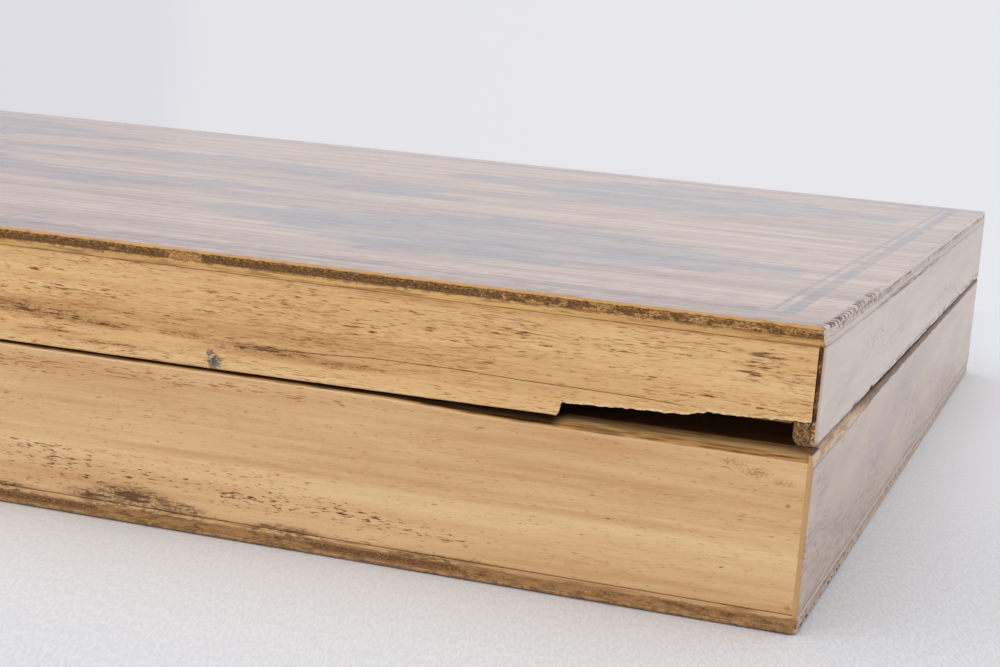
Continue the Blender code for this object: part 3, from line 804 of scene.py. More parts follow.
def over_side(t, c):
    """Panel edges on the short sides carry the side's own thin veneer."""
    w2 = Wood(t, t.y, t.z, t.x, 0.0)
    side, _ = side_tone(t, w2)
    tick = t.noise(t.stretch(t.p, (0.7, 0.28, 1.6), (4, 4, 4)), 3, 0.65)
    f = t.add(t.y, 159.5)
    front = t.spot(f, 0.0, 26.0, 0.0, 40.0, 9.0)
    band = t.mul(t.band(t.z, 48.1, 48.6), t.band(tick, t.sub(
        0.66, t.mul(front, 0.15)), t.sub(0.70, t.mul(front, 0.12))))
    side = t.mix(t.mul(band, 0.85), side, (84, 58, 40))
    broken = t.noise(t.stretch(t.vec(t.y, t.z, t.x), (0.11, 1.1, 1.1),
                               (4.0, 0, 0)), 3, 0.6)
    brown = t.mul(t.spot(f, t.z, 72.0, 49.3, 34.0, 1.1),
                  t.band(broken, 0.42, 0.52))
    side = t.mix(t.mul(t.band(brown, 0.1, 0.5), 0.8), side, (112, 76, 46))
    groove = t.mul(t.mul(t.band(t.z, 46.9, 47.3), t.band(t.z, 48.1, 47.7)),
                   t.add(0.25, t.spot(f, 0.0, 122.0, 0.0, 62.0, 9.0)))
    side = t.mix(t.mul(t.low(groove, 0.9), t.band(broken, 0.40, 0.52)), side,
                 (78, 54, 40))
    low = t.mul(t.band(t.z, 2.6, 1.8), t.band(tick, 0.46, 0.60))
    side = t.mix(t.mul(low, 0.6), side, (128, 98, 74))
    return t.mix(side_mask(t), c, side)


def make_core(name, lid):
    """Middle ply: dark, open, rough edge with golden patches."""
    t = Tree(name)
    g = t.noise(t.stretch(t.p, (1.4, 1.4, 2.6)), 4, 0.68)
    fine = t.noise(t.stretch(t.p, (4.6, 4.6, 5.0)), 3, 0.65)
    both = t.add(t.mul(g, 0.5), t.mul(fine, 0.5))
    if lid:
        c = t.ramp(both, [(0.38, (72, 46, 24)), (0.50, (112, 78, 44)),
                          (0.61, (158, 116, 72))])
    else:
        c = t.ramp(both, [(0.38, (92, 62, 38)), (0.50, (122, 86, 54)),
                          (0.60, (160, 118, 76))])
    d = t.sub(t.x, RX)
    warm = t.ramp(both, [(0.40, (120, 80, 42)), (0.47, (178, 128, 70)),
                         (0.58, (224, 178, 112))])
    if lid:
        patch = t.noise(t.stretch(t.p, (0.55, 0.55, 1.3), (3, 3, 0)), 4, 0.66)
        near = t.band(d, -84.0, -34.0)      # patchy close to the corner
        gold = t.band(patch, t.sub(0.62, t.mul(near, 0.17)),
                      t.sub(0.72, t.mul(near, 0.15)))
        left = t.mul(t.spot(d, 0.0, -113.0, 0.0, 5.6, 9.0), 0.8)
        left = t.band(t.add(left, t.mul(patch, 1.6)), 1.12, 1.55)
        corner = t.mul(t.band(d, -12.0, -2.0), t.band(t.add(
            t.z, t.mul(t.sub(patch, 0.5), 2.0)), 48.9, 49.3))
        gold = t.top(t.top(gold, left), corner)
        c = t.mix(t.mul(gold, 0.80), c, warm)
        high = t.band(t.z, 49.30, 49.75)    # golden again under the veneer
        c = t.mix(t.mul(high, t.mul(t.band(g, 0.44, 0.58), 0.6)), c, warm)
    else:
        patch = t.noise(t.stretch(t.p, (0.10, 0.10, 0.9), (3, 3, 0)), 4, 0.64)
        dark = t.spots(d, 0.0, [(-138.0, 0.0, 12.0, 9.0, 1.0),
                                (-73.0, 0.0, 15.0, 9.0, 1.0),
                                (-215.0, 0.0, 24.0, 9.0, 1.0),
                                (-310.0, 0.0, 34.0, 9.0, 1.0)])
        mottle = t.noise(t.stretch(t.p, (0.32, 0.32, 0.8), (1, 3, 0)), 4, 0.7)
        patch = t.add(t.mul(patch, 0.45), t.mul(mottle, 0.55))
        gold = t.band(t.sub(patch, t.mul(dark, 0.26)), 0.42, 0.56)
        c = t.mix(t.mul(gold, 0.80), c, t.mix(fine, (150, 108, 62),
                                              (206, 162, 110)))
        edge = t.top(t.band(t.z, 1.25, 0.95), t.band(t.z, 2.0, 2.25))
        c = t.mix(t.mul(edge, 0.45), c, (190, 146, 96))
    # painted highlights: pale specks standing in for glints on the rough end grain
    painted_glint = t.noise(t.stretch(t.p, (3.0, 3.0, 3.0), (9, 2, 7)), 2, 0.6)
    c = t.mix(t.mul(t.band(painted_glint, 0.68, 0.74), 0.9), c, (222, 212, 200))
    c = over_side(t, c)
    h = t.add(t.mul(g, 1.0), t.mul(fine, 0.8))
    smooth = side_mask(t)
    rough = t.add(0.42, t.mul(t.mul(fine, 0.35), t.inv(smooth)))
    return t.done(c, rough, t.bump(t.mul(h, t.inv(smooth)), 0.30, 0.8),
                  coat=t.mul(smooth, 0.70), coat_rough=0.28,
                  specular=t.add(0.15, t.mul(smooth, 0.25)))


def foot_grime(t, d, z):
    """Dirt that runs over the joint between the base front and its ply."""
    where = t.spots(d, z, [
        (-118.0, 3.6, 16.0, 3.4, 1.3), (-90.0, 2.8, 10.0, 2.2, 1.2),
        (-205.0, 3.6, 28.0, 2.6, 1.2), (-300.0, 3.6, 36.0, 3.0, 1.2),
        (-64.0, 2.6, 10.0, 1.2, 1.0), (-148.0, 2.8, 12.0, 1.4, 1.0)])
    grit = t.noise(t.stretch(t.p, (0.7, 0.7, 1.9)), 4, 0.66)
    return t.mul(t.band(where, 0.2, 0.9), t.band(grit, 0.44, 0.58))


def make_inner_ply(name, lid):
    t = Tree(name)
    w = Wood(t, t.x, t.z, t.y, 11.0)
    if lid:
        c = w.base((214, 170, 108), (198, 152, 90), (168, 120, 64))
    else:
        c = w.base((216, 180, 132), (205, 166, 118), (186, 144, 96), 1.3)
    n = t.noise(t.stretch(t.p, (0.13, 0.13, 2.2), (5, 1, 2)), 4, 0.64)
    c = t.mix(t.mul(t.band(n, 0.46, 0.62), 0.7), c, (138, 90, 42))
    ragged = t.noise(t.stretch(t.p, (0.9, 0.9, 0.9)), 3, 0.6)
    if lid:
        creep = t.add(t.sub(t.z, 48.30), t.mul(t.sub(ragged, 0.5), 1.6))
        c = t.mix(t.mul(t.band(creep, -0.25, 0.15), 0.8), c, (118, 82, 46))
    else:
        creep = t.add(t.sub(t.z, 2.6), t.mul(t.sub(ragged, 0.5), 1.4))
        c = t.mix(t.mul(t.band(creep, 0.1, -0.2), 0.55), c, (140, 98, 58))
        grime = foot_grime(t, t.sub(t.x, RX), t.z)
        c = t.mix(t.mul(grime, 0.75), c, (100, 66, 34))
    c = over_side(t, c)
    return varnished(t, w, c, 0.45, t.add(0.10, t.mul(side_mask(t), 0.60)),
                     0.28, None, 0.05, 0.25)


def make_end_grain():
    t = Tree("broken_end_grain")
    n = t.noise(t.stretch(t.p, (2.4, 2.4, 1.4)), 4, 0.7)
    f = t.noise(t.stretch(t.p, (7.0, 7.0, 4.0), (3, 1, 4)), 3, 0.65)
    c = t.ramp(t.add(t.mul(n, 0.5), t.mul(f, 0.5)),
               [(0.41, (78, 52, 30)), (0.49, (138, 100, 64)),
                (0.58, (206, 168, 122))])
    c = t.mix(t.mul(t.band(t.z, 31.6, 30.9), 0.5), c, (84, 58, 34))
    return t.done(c, 0.7, t.bump(t.add(n, f), 0.45, 1.0), specular=0.15)


def make_board(name, seed):
    """Playing planks: pale varnished wood, darker with depth in the hollows."""
    t = Tree(name)
    w = Wood(t, t.x, t.y, t.z, seed)
    c = w.base((222, 186, 138), (207, 166, 116), (184, 140, 92), 2.6)
    rings = t.noise(w.at(90, 5.0, 33.0), 3, 0.55, 1.2)
    line = t.math("FRACT", t.mul(rings, 9.0))
    line = t.mul(t.band(line, 0.62, 0.86), t.band(line, 1.0, 0.9))
    c = t.mix(t.mul(line, 0.28), c, (168, 120, 74))
    c = w.pores(c, (168, 116, 68), 0.5)
    group = t.band(t.noise(w.at(40, 8, 31.0), 2, 0.5), 0.48, 0.64)
    c = w.flecks(c, t.mul(group, 0.6), (112, 76, 46), 0.7, 0.72, 0.15,
                 (5.0, 0.4))
    hand = t.noise(t.stretch(t.p, (0.02, 0.02, 0.02)), 3, 0.6)
    c = t.mix(t.mul(t.band(hand, 0.5, 0.7), 0.22), c, (166, 122, 82))
    deep = t.attribute("hollow")
    c = t.mix(t.mul(deep, 0.30), c, (156, 110, 70))
    return varnished(t, w, c, 0.42, 0.6, 0.18, None, 0.06)


def make_batten():
    t = Tree("batten_raw_wood")
    w = Wood(t, t.y, t.z, t.x, 19.0)
    c = w.base((206, 176, 136), (190, 156, 116), (168, 132, 94), 1.4)
    c = w.pores(c, (150, 112, 74), 0.5)
    w.fleck = w.pore
    return varnished(t, w, c, 0.62, 0.0, 0.3, None, 0.12)


def make_metal(name, colour, tarnish, rough, turn):
    """Aged metal: brushed lines, patchy brown tarnish and dark spots."""
    t = Tree(name)
    brushed = t.noise(t.stretch(t.p, (3.0, 0.35, 9.0) if not turn
                                else (6.0, 0.5, 6.0)), 3, 0.6)
    age = t.noise(t.stretch(t.p, (0.12, 0.12, 0.12)), 3, 0.5)
    spots = t.noise(t.stretch(t.p, (1.3, 1.3, 1.3), (3, 1, 7)), 3, 0.6)
    c = t.mix(t.mul(t.band(age, 0.30, 0.75), 0.75), colour, tarnish)
    c = t.mix(t.mul(t.band(spots, 0.60, 0.72), 0.45), c, (96, 76, 50))
    c = t.mix(t.mul(t.band(brushed, 0.4, 0.7), 0.18), c, (236, 210, 160)
              if not turn else (226, 222, 214))
    r = t.add(rough, t.mul(age, 0.28))
    return t.done(c, r, t.bump(t.add(brushed, t.mul(age, 0.6)), 0.02, 0.6),
                  metallic=1.0)


MAT = {
    "lid_front": make_lid_front(),
    "base_front": make_base_front(),
    "side": make_side_rail(),
    "back": make_plain_rail("back_rail_wood", 8.0),
    "face": make_face("printed_face_veneer", True),
    "under": make_face("plain_face_veneer", False),
    "core": make_core("lid_core_ply_edge", True),
    "core_low": make_core("base_core_ply_edge", False),
    "inner": make_inner_ply("lid_inner_ply_edge", True),
    "inner_low": make_inner_ply("base_inner_ply_edge", False),
    "end": make_end_grain(),
    "board_a": make_board("playing_board_wood", 1.0),
    "board_b": make_board("store_board_wood", 27.0),
    "batten": make_batten(),
    "brass": make_metal("aged_brass", (204, 178, 122), (150, 122, 78), 0.30,
                        False),
    "pin": make_metal("hinge_pin_steel", (186, 182, 172), (120, 104, 84), 0.26,
                      True),
}


# ---------------------------------------------------------------- meshes
def new_piece(name, verts, faces, mat, body, replaced=(),
              attrs=None, sharp=0.6, weighted=True):
    mesh = bpy.data.meshes.new(name)
    mesh.from_pydata(verts, [], faces)
    for key, values in (attrs or {}).items():
        a = mesh.attributes.new(key, "FLOAT", "POINT")
        a.data.foreach_set("value", values)
    bm = bmesh.new()
    bm.from_mesh(mesh)
    bmesh.ops.recalc_face_normals(bm, faces=bm.faces)
    if bm.calc_volume(signed=True) < 0.0:
        bmesh.ops.reverse_faces(bm, faces=bm.faces)
    bm.to_mesh(mesh)
    bm.free()
    return dress(name, mesh, mat, body, replaced, sharp, weighted)


def dress(name, mesh, mat, body, replaced=(), sharp=0.6,
          weighted=True):
    mesh.name = name
    mesh.materials.clear()
    mesh.materials.append(mat)
    mesh.shade_smooth()
    mesh.set_sharp_from_angle(angle=sharp)
    obj = bpy.data.objects.new(name, mesh)
    bpy.context.scene.collection.objects.link(obj)
    if weighted:
        mod = obj.modifiers.new("even_shading", "WEIGHTED_NORMAL")
        mod.keep_sharp = True
        mod.weight = 80
    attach(obj, body)
    if replaced:
        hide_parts(*replaced)
    return obj


def section(a0, a1, b0, b1, radii, seg=4, side=(), under=()):
    """Closed cross-section. radii: (a0b0, a1b0, a1b1, a0b1), each one number
    or (across, up) for an oval corner.
    side: extra points down the a0 face, from b1 to b0.
    under: extra points along the b0 face, from a0 to a1."""
    pts = []
    spec = ((a0, b0, 180), (a1, b0, 270), (a1, b1, 0), (a0, b1, 90))
    for corner, ((ca, cb, start), r) in enumerate(zip(spec, radii)):
        if corner == 1:
            pts.extend(under)
        ra, rb = r if isinstance(r, tuple) else (r, r)
        ra, rb = max(ra, 0.00002), max(rb, 0.00002)
        oa = ca + ra if ca == a0 else ca - ra
        ob = cb + rb if cb == b0 else cb - rb
        for k in range(seg + 1):
            ang = radians(start + 90.0 * k / seg)
            pts.append((oa + ra * cos(ang), ob + rb * sin(ang)))
    pts.extend(side)
    return pts


def loft(name, rings, mat, body, replaced=(), attrs=None,
         sharp=0.6, weighted=True):
    """Skin a list of equal-length rings of 3D points, ends closed."""
    n = len(rings[0])
    verts = [p for r in rings for p in r]
    faces = []
    for k in range(len(rings) - 1):
        a, b = k * n, (k + 1) * n
        for i in range(n):
            j = (i + 1) % n
            faces.append((a + i, a + j, b + j, b + i))
    faces.append(tuple(range(n - 1, -1, -1)))
    last = (len(rings) - 1) * n
    faces.append(tuple(range(last, last + n)))
    return new_piece(name, verts, faces, mat, body, replaced, attrs,
                     sharp, weighted)


def spaced(a, b, step):
    n = max(1, int(round(abs(b - a) / step)))
    return [a + (b - a) * k / n for k in range(n + 1)]


# ---- rails along X --------------------------------------------------------
FRONT_Y = Y0 + 0.00008           # rails sit a hair behind the panel edges
EX0, EX1 = X0 + LIP + GAP - 0.0001, X1 - LIP - GAP + 0.0001
RAIL_TOP = TOP - PLY - 0.00006   # thin glue line under the lid's panel
BASE_LOW = PLY + 0.00006

BREAK = [(-0.04345, 0.03026), (-0.0432, 0.03040), (-0.0429, 0.03075),
         (-0.0427, 0.0313), (-0.04262, 0.0324), (-0.0425, 0.03262),
         (-0.0410, 0.03268), (-0.0390, 0.03276), (-0.0350, 0.03295),
         (-0.0300, 0.03322), (-0.0250, 0.03340), (-0.0212, 0.03350),
         (-0.0203, 0.03392), (-0.0188, 0.03412), (-0.0182, 0.03440),
         (-0.0150, 0.03436), (-0.0125, 0.03446), (-0.0092, 0.03462),
         (-0.0060, 0.03478), (-0.0044, 0.03486), (-0.0012, 0.03490)]
CRACK = [(-0.0980, 0.0346), (-0.0950, 0.0349), (-0.0850, 0.0352),
         (-0.0760, 0.0357), (-0.0620, 0.0358), (-0.0500, 0.03545),
         (-0.0400, 0.0354), (-0.0300, 0.0353), (-0.0220, 0.0349),
         (-0.0186, 0.0347), (-0.0150, 0.0349)]


def lid_low(x):
    """Lower edge of the lid's front rail at x."""
    d = x - X1
    if d < -0.04345:
        wave = 0.00003 * fbm(x * 160, 3.0) + 0.00002 * fbm(x * 900, 1.0)
        return LID_Z + RISE * max(0.0, (x - X0) / (X1 - X0)) ** 7 \
            - 0.00030 + 0.00020 * (x - X0) / (X1 - X0) + wave
    z = table(BREAK, d)
    if d > -0.0424:
        z += 0.00020 * fbm(d * 1100, 5.0, 0.0, 4) + 0.00012 * fbm(d * 380, 9.0)
    return z


def lid_front_rail():
    xs = spaced(EX0, X1 - 0.110, 0.0025)
    xs += spaced(X1 - 0.110, X1 - 0.0440, 0.0008)[1:]
    xs += spaced(X1 - 0.0440, X1 - 0.0415, 0.00007)[1:]
    xs += spaced(X1 - 0.0415, EX1, 0.00022)[1:]
    rings, torn, crack, torn_back_dirt_and_shade = [], [], [], []
    fr = 7                        # extra points above the crack
    for x in xs:
        d = x - X1
        z0 = lid_low(x)
        z1 = RAIL_TOP
        broken = ease((d + 0.0430) / 0.0006)
        zc = table(CRACK, d) + 0.00004 * fbm(d * 700, 2.0)
        zc = max(zc, z0 + 0.0006)
        active = ease((d + 0.0975) / 0.004) * ease((-0.0200 - d) / 0.006)
        proud = 0.00005 * active
        depth = 0.00034 * active
        half = 0.000065
        # loosened strip below the crack stands a touch lower and outwards
        y_low = FRONT_Y - proud
        r_low = 0.00045 * (1 - broken) + 0.00006 * broken
        r_low *= 1.0 + 0.35 * fbm(x * 240, 8.0)
        side = []
        for k in range(1, fr + 1):
            f = k / (fr + 1)
            side.append((FRONT_Y, z1 - 0.0004 - (z1 - 0.0004 - zc - half * 3)
                         * f))
        side.append((FRONT_Y, zc + half * 2.2))
        side.append((FRONT_Y + 0.00002, zc + half))
        side.append((FRONT_Y + depth, zc))
        side.append((y_low + 0.00001, zc - half))
        side.append((y_low, zc - half * 2.2))
        m = z0 + max(r_low, 0.00025) + 0.00005
        for f in (0.35, 0.7):
            side.append((y_low, (zc - half * 2.2) * (1 - f) + m * f))
        under = [(Y0 + q, z0) for q in (0.0007, 0.0011, 0.0016, 0.0022,
                                        0.0030, 0.0040, 0.0052, 0.0065)]
        pts = section(y_low, Y0 + END_T, z0, z1,
                      (r_low, 0.0004, 0.0002, 0.00025), 3, side, under)
        ring = []
        for i, (a, b) in enumerate(pts):
            into = max(0.0, a - Y0 - 0.0003)
            dark = 0.0
            if b < z0 + 0.0009 and into > 0.0:
                # the wood tore away further back behind the visible edge
                lift = max(0.0, lid_low(min(X1 - 0.0012, x + 1.5 * into))
                           - z0)
                back_tear = ease((x + 1.5 * into - X1 + 0.0430) / 0.0006)
                b += lift + back_tear * min(0.0022, 0.45 * into) \
                    * (1 + 0.35 * fbm(x * 800, a * 900))
                # dark: share of darker colour on the torn-back surface, partly dirt and partly
                # painted shade of the recess
                dark = back_tear * ease(into / 0.0009)
            if broken and b < z0 + 0.0020 and a < Y0 + 0.0004:
                a += broken * 0.00007 * (1 + fbm(x * 1400, b * 2500))
            ring.append((x, a, b))
            reach = 0.00065 * (1.0 + 0.6 * fbm(x * 700, 31.0))
            near = max(0.0, 1.0 - (b - z0) / reach) if a < Y0 + 0.0006 \
                else 0.0
            torn.append(broken * near)
            torn_back_dirt_and_shade.append(dark)
            is_c = i == len(pts) - len(side) + fr + 2
            crack.append(active if is_c else 0.0)
        rings.append(ring)
    return loft("lid_front_rail_wood", rings, MAT["lid_front"], "lid",
                ("lid_front_rail",),
                {"torn": torn, "crack": crack, "torn_back_dirt_and_shade": torn_back_dirt_and_shade}, 0.7)


def lid_stump():
    """Crushed end grain left where the rail broke away beside the corner."""
    rings = []
    x0, x1 = X1 - 0.0042, X1 - LIP - 0.00003
    y0 = Y0 + 0.00035
    zs = spaced(0.0309, 0.03475, 0.00022)
    for z in zs:
        f = (z - zs[0]) / (zs[-1] - zs[0])
        narrow = 0.0009 * (1 - ease(f * 3.2)) + 0.00012
        ring = []
        for a, b in section(x0 + narrow * 0.8, x1, y0 + narrow * 0.5,
                            Y0 + END_T - 0.0003,
                            (0.0004, 0.0002, 0.0002, 0.0004), 4,
                            [(x0 + narrow * 0.8, y0 + 0.0060 - 0.0006 * k)
                             for k in range(1, 9)]):
            n = 0.00013 * fbm(a * 1500, b * 1500, z * 1300, 4)
            if b < y0 + 0.0010:
                b += n + 0.00006
            if a < x0 + 0.0012:
                a += n
            ring.append((a, b, z))
        rings.append(ring)
    return loft("lid_front_rail_stump", rings, MAT["end"], "lid", (),
                None, 1.0)


def x_rail(name, mat, body, node, y_out, y_in, z0, z1, r_out_low, r_out_top,
           wear, step=0.002, ends=(EX0, EX1)):
    """Straight rail along X. The outer face is at y_out."""
    rings = []
    lo, hi = min(y_out, y_in), max(y_out, y_in)
    front = y_out < y_in
    for x in spaced(ends[0], ends[1], step):
        n = 1.0 + wear * fbm(x * 150, z0 * 1000)
        rl = r_out_low * n
        n = 1.0 + wear * fbm(x * 210, z1 * 1000 + 4)
        r_top = r_out_top(x) if callable(r_out_top) else r_out_top
        across, up = r_top if isinstance(r_top, tuple) else (r_top, r_top)
        rt = (across * n, up * (1.0 + wear * 0.5 * fbm(x * 90, 2.0)))
        inner = 0.0004
        radii = (rl, inner, inner, rt) if front else (inner, rl, rt, inner)
        mid = [(lo, z1 + (z0 - z1) * f) for f in (0.2, 0.4, 0.6, 0.8)]
        rings.append([(x, a, b) for a, b in
                      section(lo, hi, z0, z1, radii, 10, mid)])
    return loft(name, rings, mat, body, (node,), None, 0.9)


def y_rail(name, mat, body, node, opening_side, z_low, z1, r_low, r_top,
           r_corner, wear):
    """Side rail along Y with rabbeted ends. z_low and radii may vary on y."""
    s = 1.0 if opening_side else -1.0
    outer = X1 if opening_side else X0
    outer -= s * 0.00006
    inner = outer - s * (SIDE_T - 0.00006)
    lip = outer - s * (LIP - 0.00006)
    stations = []
    for k in range(6):
        ph = pi / 2 * (1 - k / 5)
        stations.append((Y0 + 0.00004 + r_corner * (1 - sin(ph)),
                         r_corner * (1 - cos(ph)), True))
    step0 = Y0 + END_T + GAP
    stations += [(y, 0.0, True)
                 for y in spaced(Y0 + r_corner + 0.0004, step0 - 0.00006,
                                 0.0006)[1:]]
    mids = [(y, 0.0, False) for y in spaced(step0, -step0, 0.0009)]
    ends = [(-y, i, l) for y, i, l in reversed(stations)]
    rings = []
    for y, inset, is_lip in stations + mids + ends:
        inn = lip if is_lip else inner
        out = outer - s * inset
        lo, hi = min(out, inn), max(out, inn)
        z0 = z_low(y)
        rl = r_low(y) * (1 + wear * fbm(y * 260, z0 * 1000))
        n = 1 + wear * fbm(y * 240, z1 * 1000 + 7)
        across, up = r_top(y) if isinstance(r_top(y), tuple) else \
            (r_top(y), r_top(y))
        ri = min(0.0003, 0.25 * (hi - lo))
        room = 0.97 * (hi - lo - ri)
        rl = min(rl, room)
        rt = (min(across * n, room), up * n)
        radii = (ri, rl, rt, ri) if opening_side else (rl, ri, ri, rt)
        rings.append([(a, y, b) for a, b in
                      section(lo, hi, z0, z1, radii, 6)])
    return loft(name, rings, mat, body, (node,), None, 0.9)


def constant(v):
    return lambda _y: v


def rim_side(y):
    nick = 0.0
    for c, wdt, h in ((Y0 + 0.044, 0.0022, 0.00045),
                      (Y0 + 0.067, 0.0030, 0.0006)):
        nick += h * max(0.0, 1 - ((y - c) / wdt) ** 2)
    wave = 0.00004 * fbm(y * 150, 6.0)
    return LID_Z + RISE * (Y1 - y) / (Y1 - Y0) + nick + wave


def rim_radius(y):
    """Rounding of the base rim: broad at the handled corner."""
    f = ease((y - Y0 - 0.02) / 0.09)
    return (0.0032 - 0.0020 * f, 0.0020 - 0.0011 * f)


lid_front_rail()
lid_stump()
def front_rim(x):
    """The handled corner is worn into a broad slope."""
    f = ease((x - X1 + 0.078) / 0.030)
    return (0.0012 + 0.0034 * f, 0.00055 + 0.00100 * f)


x_rail("base_front_rail_wood", MAT["base_front"], "base", "base_front_rail",
       FRONT_Y, Y0 + END_T, BASE_LOW, RIM_Z, 0.00025, front_rim, 0.12,
       0.002, (X0 + LIP + 0.00002, X1 - LIP - 0.00002))
x_rail("base_back_rail_wood", MAT["back"], "base", "base_back_rail",
       Y1 - 0.00008, Y1 - END_T, BASE_LOW, RIM_Z, 0.00025, 0.0009, 0.2)
x_rail("lid_back_rail_wood", MAT["back"], "lid", "lid_back_rail",
       Y1 - 0.00008, Y1 - END_T, LID_Z, RAIL_TOP, 0.0005, 0.0002, 0.25)
y_rail("lid_opening_rail_wood", MAT["side"], "lid", "lid_outer_rail", True,
       rim_side, RAIL_TOP, constant(0.00045), constant(0.0002), 0.0006, 0.4)
y_rail("base_opening_rail_wood", MAT["side"], "base", "base_outer_rail", True,
       constant(BASE_LOW), RIM_Z, constant(0.00025), rim_radius, 0.0006, 0.2)
y_rail("lid_hinge_side_rail_wood", MAT["side"], "lid", "lid_hinge_rail",
       False, constant(LID_Z), RAIL_TOP, constant(0.0003), constant(0.0002),
       0.0006, 0.3)
y_rail("base_hinge_side_rail_wood", MAT["side"], "base", "base_hinge_rail",
       False, constant(BASE_LOW), RIM_Z, constant(0.00025), constant(0.0003),
       0.0006, 0.3)


# ---- three-ply panels -------------------------------------------------------
def perimeter(x0, x1, y0, y1, r, step):
    """Rounded rectangle, counter-clockwise: (point, outward normal)."""
    out = []
    corners = ((x1 - r, y0 + r, 270), (x1 - r, y1 - r, 0),
               (x0 + r, y1 - r, 90), (x0 + r, y0 + r, 180))
    sides = (((x0 + r, y0), (x1 - r, y0), (0, -1)),
             ((x1, y0 + r), (x1, y1 - r), (1, 0)),
             ((x1 - r, y1), (x0 + r, y1), (0, 1)),
             ((x0, y1 - r), (x0, y0 + r), (-1, 0)))
    for (a, b, n), (cx, cy, start) in zip(sides, corners):
        count = max(2, int(round(hypot(b[0] - a[0], b[1] - a[1]) / step)))
        for k in range(count):
            f = k / count
            out.append((a[0] + (b[0] - a[0]) * f, a[1] + (b[1] - a[1]) * f,
                        n[0], n[1]))
        arc = max(6, int(round(r * pi / 2 / step)))
        for k in range(arc):
            ang = radians(start + 90.0 * k / arc)
            out.append((cx + r * cos(ang), cy + r * sin(ang), cos(ang),
                        sin(ang)))
    return out


def ply(name, mat, body, profile, step, rough=0.0, corner=0.0015,
        replaced=(), freq=700.0, sharp=0.7, worn=()):
    """profile: (inset, z, noise share) rings from the bottom to the top.
    worn: (z, extra inset) at the front opening corner."""
    edge = perimeter(X0, X1, Y0, Y1, corner, step)
    rings = []
    for inset, z, share in profile:
        ring = []
        for x, y, nx, ny in edge:
            w = inset
            if share and rough:
                w += share * rough * (0.5 + 0.5 * fbm(x * freq, y * freq,
                                                      z * freq, 3))
            if worn:
                near = max(0.0, 1.0 - hypot(x - X1, y - Y0) / 0.010)
                w += near ** 1.5 * max(0.0, nx) ** 2 * table(worn, z)
            ring.append((x - nx * w, y - ny * w, z))
        rings.append(ring)
    return loft(name, rings, mat, body, replaced, None, sharp)


def rounded_top(z0, z1, r, small=0.00008, seg=6):
    """Profile of a sheet: square below, rounded by r above."""
    prof = [(small, z0, 0.0), (0.0, z0 + small, 0.0)]
    for k in range(seg + 1):
        ang = pi / 2 * k / seg
        prof.append((r * (1 - cos(ang)), z1 - r + r * sin(ang),
                     1.0 if 0 < k < seg else 0.0))
    return prof


T = TOP
HANDLED = [(T - 0.0032, 0.0003), (T - 0.0019, 0.0007), (T - 0.0006, 0.0010),
           (T - 0.0003, 0.0012), (T, 0.0016)]
ply("lid_face_veneer", MAT["face"], "lid",
    rounded_top(T - 0.00060, T, 0.00050), 0.0020, 0.00007, 0.0015,
    ("lid_top_panel",), 500.0, 0.9, HANDLED)
ply("lid_core_ply", MAT["core"], "lid",
    [(0.00016, T - 0.00193, 0.0), (0.00004, T - 0.00188, 1.0),
     (0.00002, T - 0.00160, 1.2), (0.00004, T - 0.00130, 1.4),
     (0.00006, T - 0.00100, 1.4), (0.00004, T - 0.00074, 1.0),
     (0.00016, T - 0.00062, 0.0)], 0.0007, 0.00022, 0.0015, (),
    worn=HANDLED)
ply("lid_inner_ply", MAT["inner"], "lid",
    [(0.00010, T - 0.00320, 0.0), (0.00003, T - 0.00310, 0.5),
     (0.00002, T - 0.00260, 1.0), (0.00003, T - 0.00205, 0.5),
     (0.00010, T - 0.00195, 0.0)], 0.0014, 0.00005, 0.0015, (),
    worn=HANDLED)

ply("base_face_veneer", MAT["under"], "base",
    [(0.00070, 0.00002, 0.0), (0.00028, 0.00014, 1.0),
     (0.00006, 0.00036, 1.0), (0.0, 0.00062, 0.0), (0.00006, 0.00084, 0.0)], 0.0020, 0.00006, 0.0015,
    ("base_bottom_panel",), 500.0, 0.9)
ply("base_core_ply", MAT["core_low"], "base",
    [(0.00016, 0.00086, 0.0), (0.00004, 0.00092, 1.0),
     (0.00002, 0.00120, 1.2), (0.00004, 0.00160, 1.4),
     (0.00006, 0.00190, 1.4), (0.00004, 0.00224, 1.0),
     (0.00016, 0.00230, 0.0)], 0.0007, 0.00022, 0.0015, ())
ply("base_inner_ply", MAT["inner_low"], "base",
    [(0.00010, 0.00232, 0.0), (0.00003, 0.00240, 0.5),
     (0.00002, 0.00275, 1.0), (0.00003, 0.00310, 0.5),
     (0.00010, PLY, 0.0)], 0.0014, 0.00005, 0.0015, ())


# ---- playing boards ----------------------------------------------------------
def mesh_of(verts, faces, name="tool"):
    mesh = bpy.data.meshes.new(name)
    mesh.from_pydata(verts, [], faces)
    bm = bmesh.new()
    bm.from_mesh(mesh)
    bmesh.ops.recalc_face_normals(bm, faces=bm.faces)
    if bm.calc_volume(signed=True) < 0.0:
        bmesh.ops.reverse_faces(bm, faces=bm.faces)
    bm.to_mesh(mesh)
    bm.free()
    return mesh


def cut(mesh, tools, operation="DIFFERENCE"):
    """Exact boolean of a mesh with tool meshes, one after another."""
    obj = bpy.data.objects.new("work", mesh)
    bpy.context.scene.collection.objects.link(obj)
    extra = []
    for tool in tools:
        o = bpy.data.objects.new("tool", tool)
        bpy.context.scene.collection.objects.link(o)
        extra.append(o)
        mod = obj.modifiers.new("cut", "BOOLEAN")
        mod.operation = operation
        mod.solver = "EXACT"
        mod.object = o
    bpy.context.view_layer.update()
    graph = bpy.context.evaluated_depsgraph_get()
    out = bpy.data.meshes.new_from_object(obj.evaluated_get(graph))
    bpy.data.objects.remove(obj, do_unlink=True)
    for o in extra:
        bpy.data.objects.remove(o, do_unlink=True)
    return out


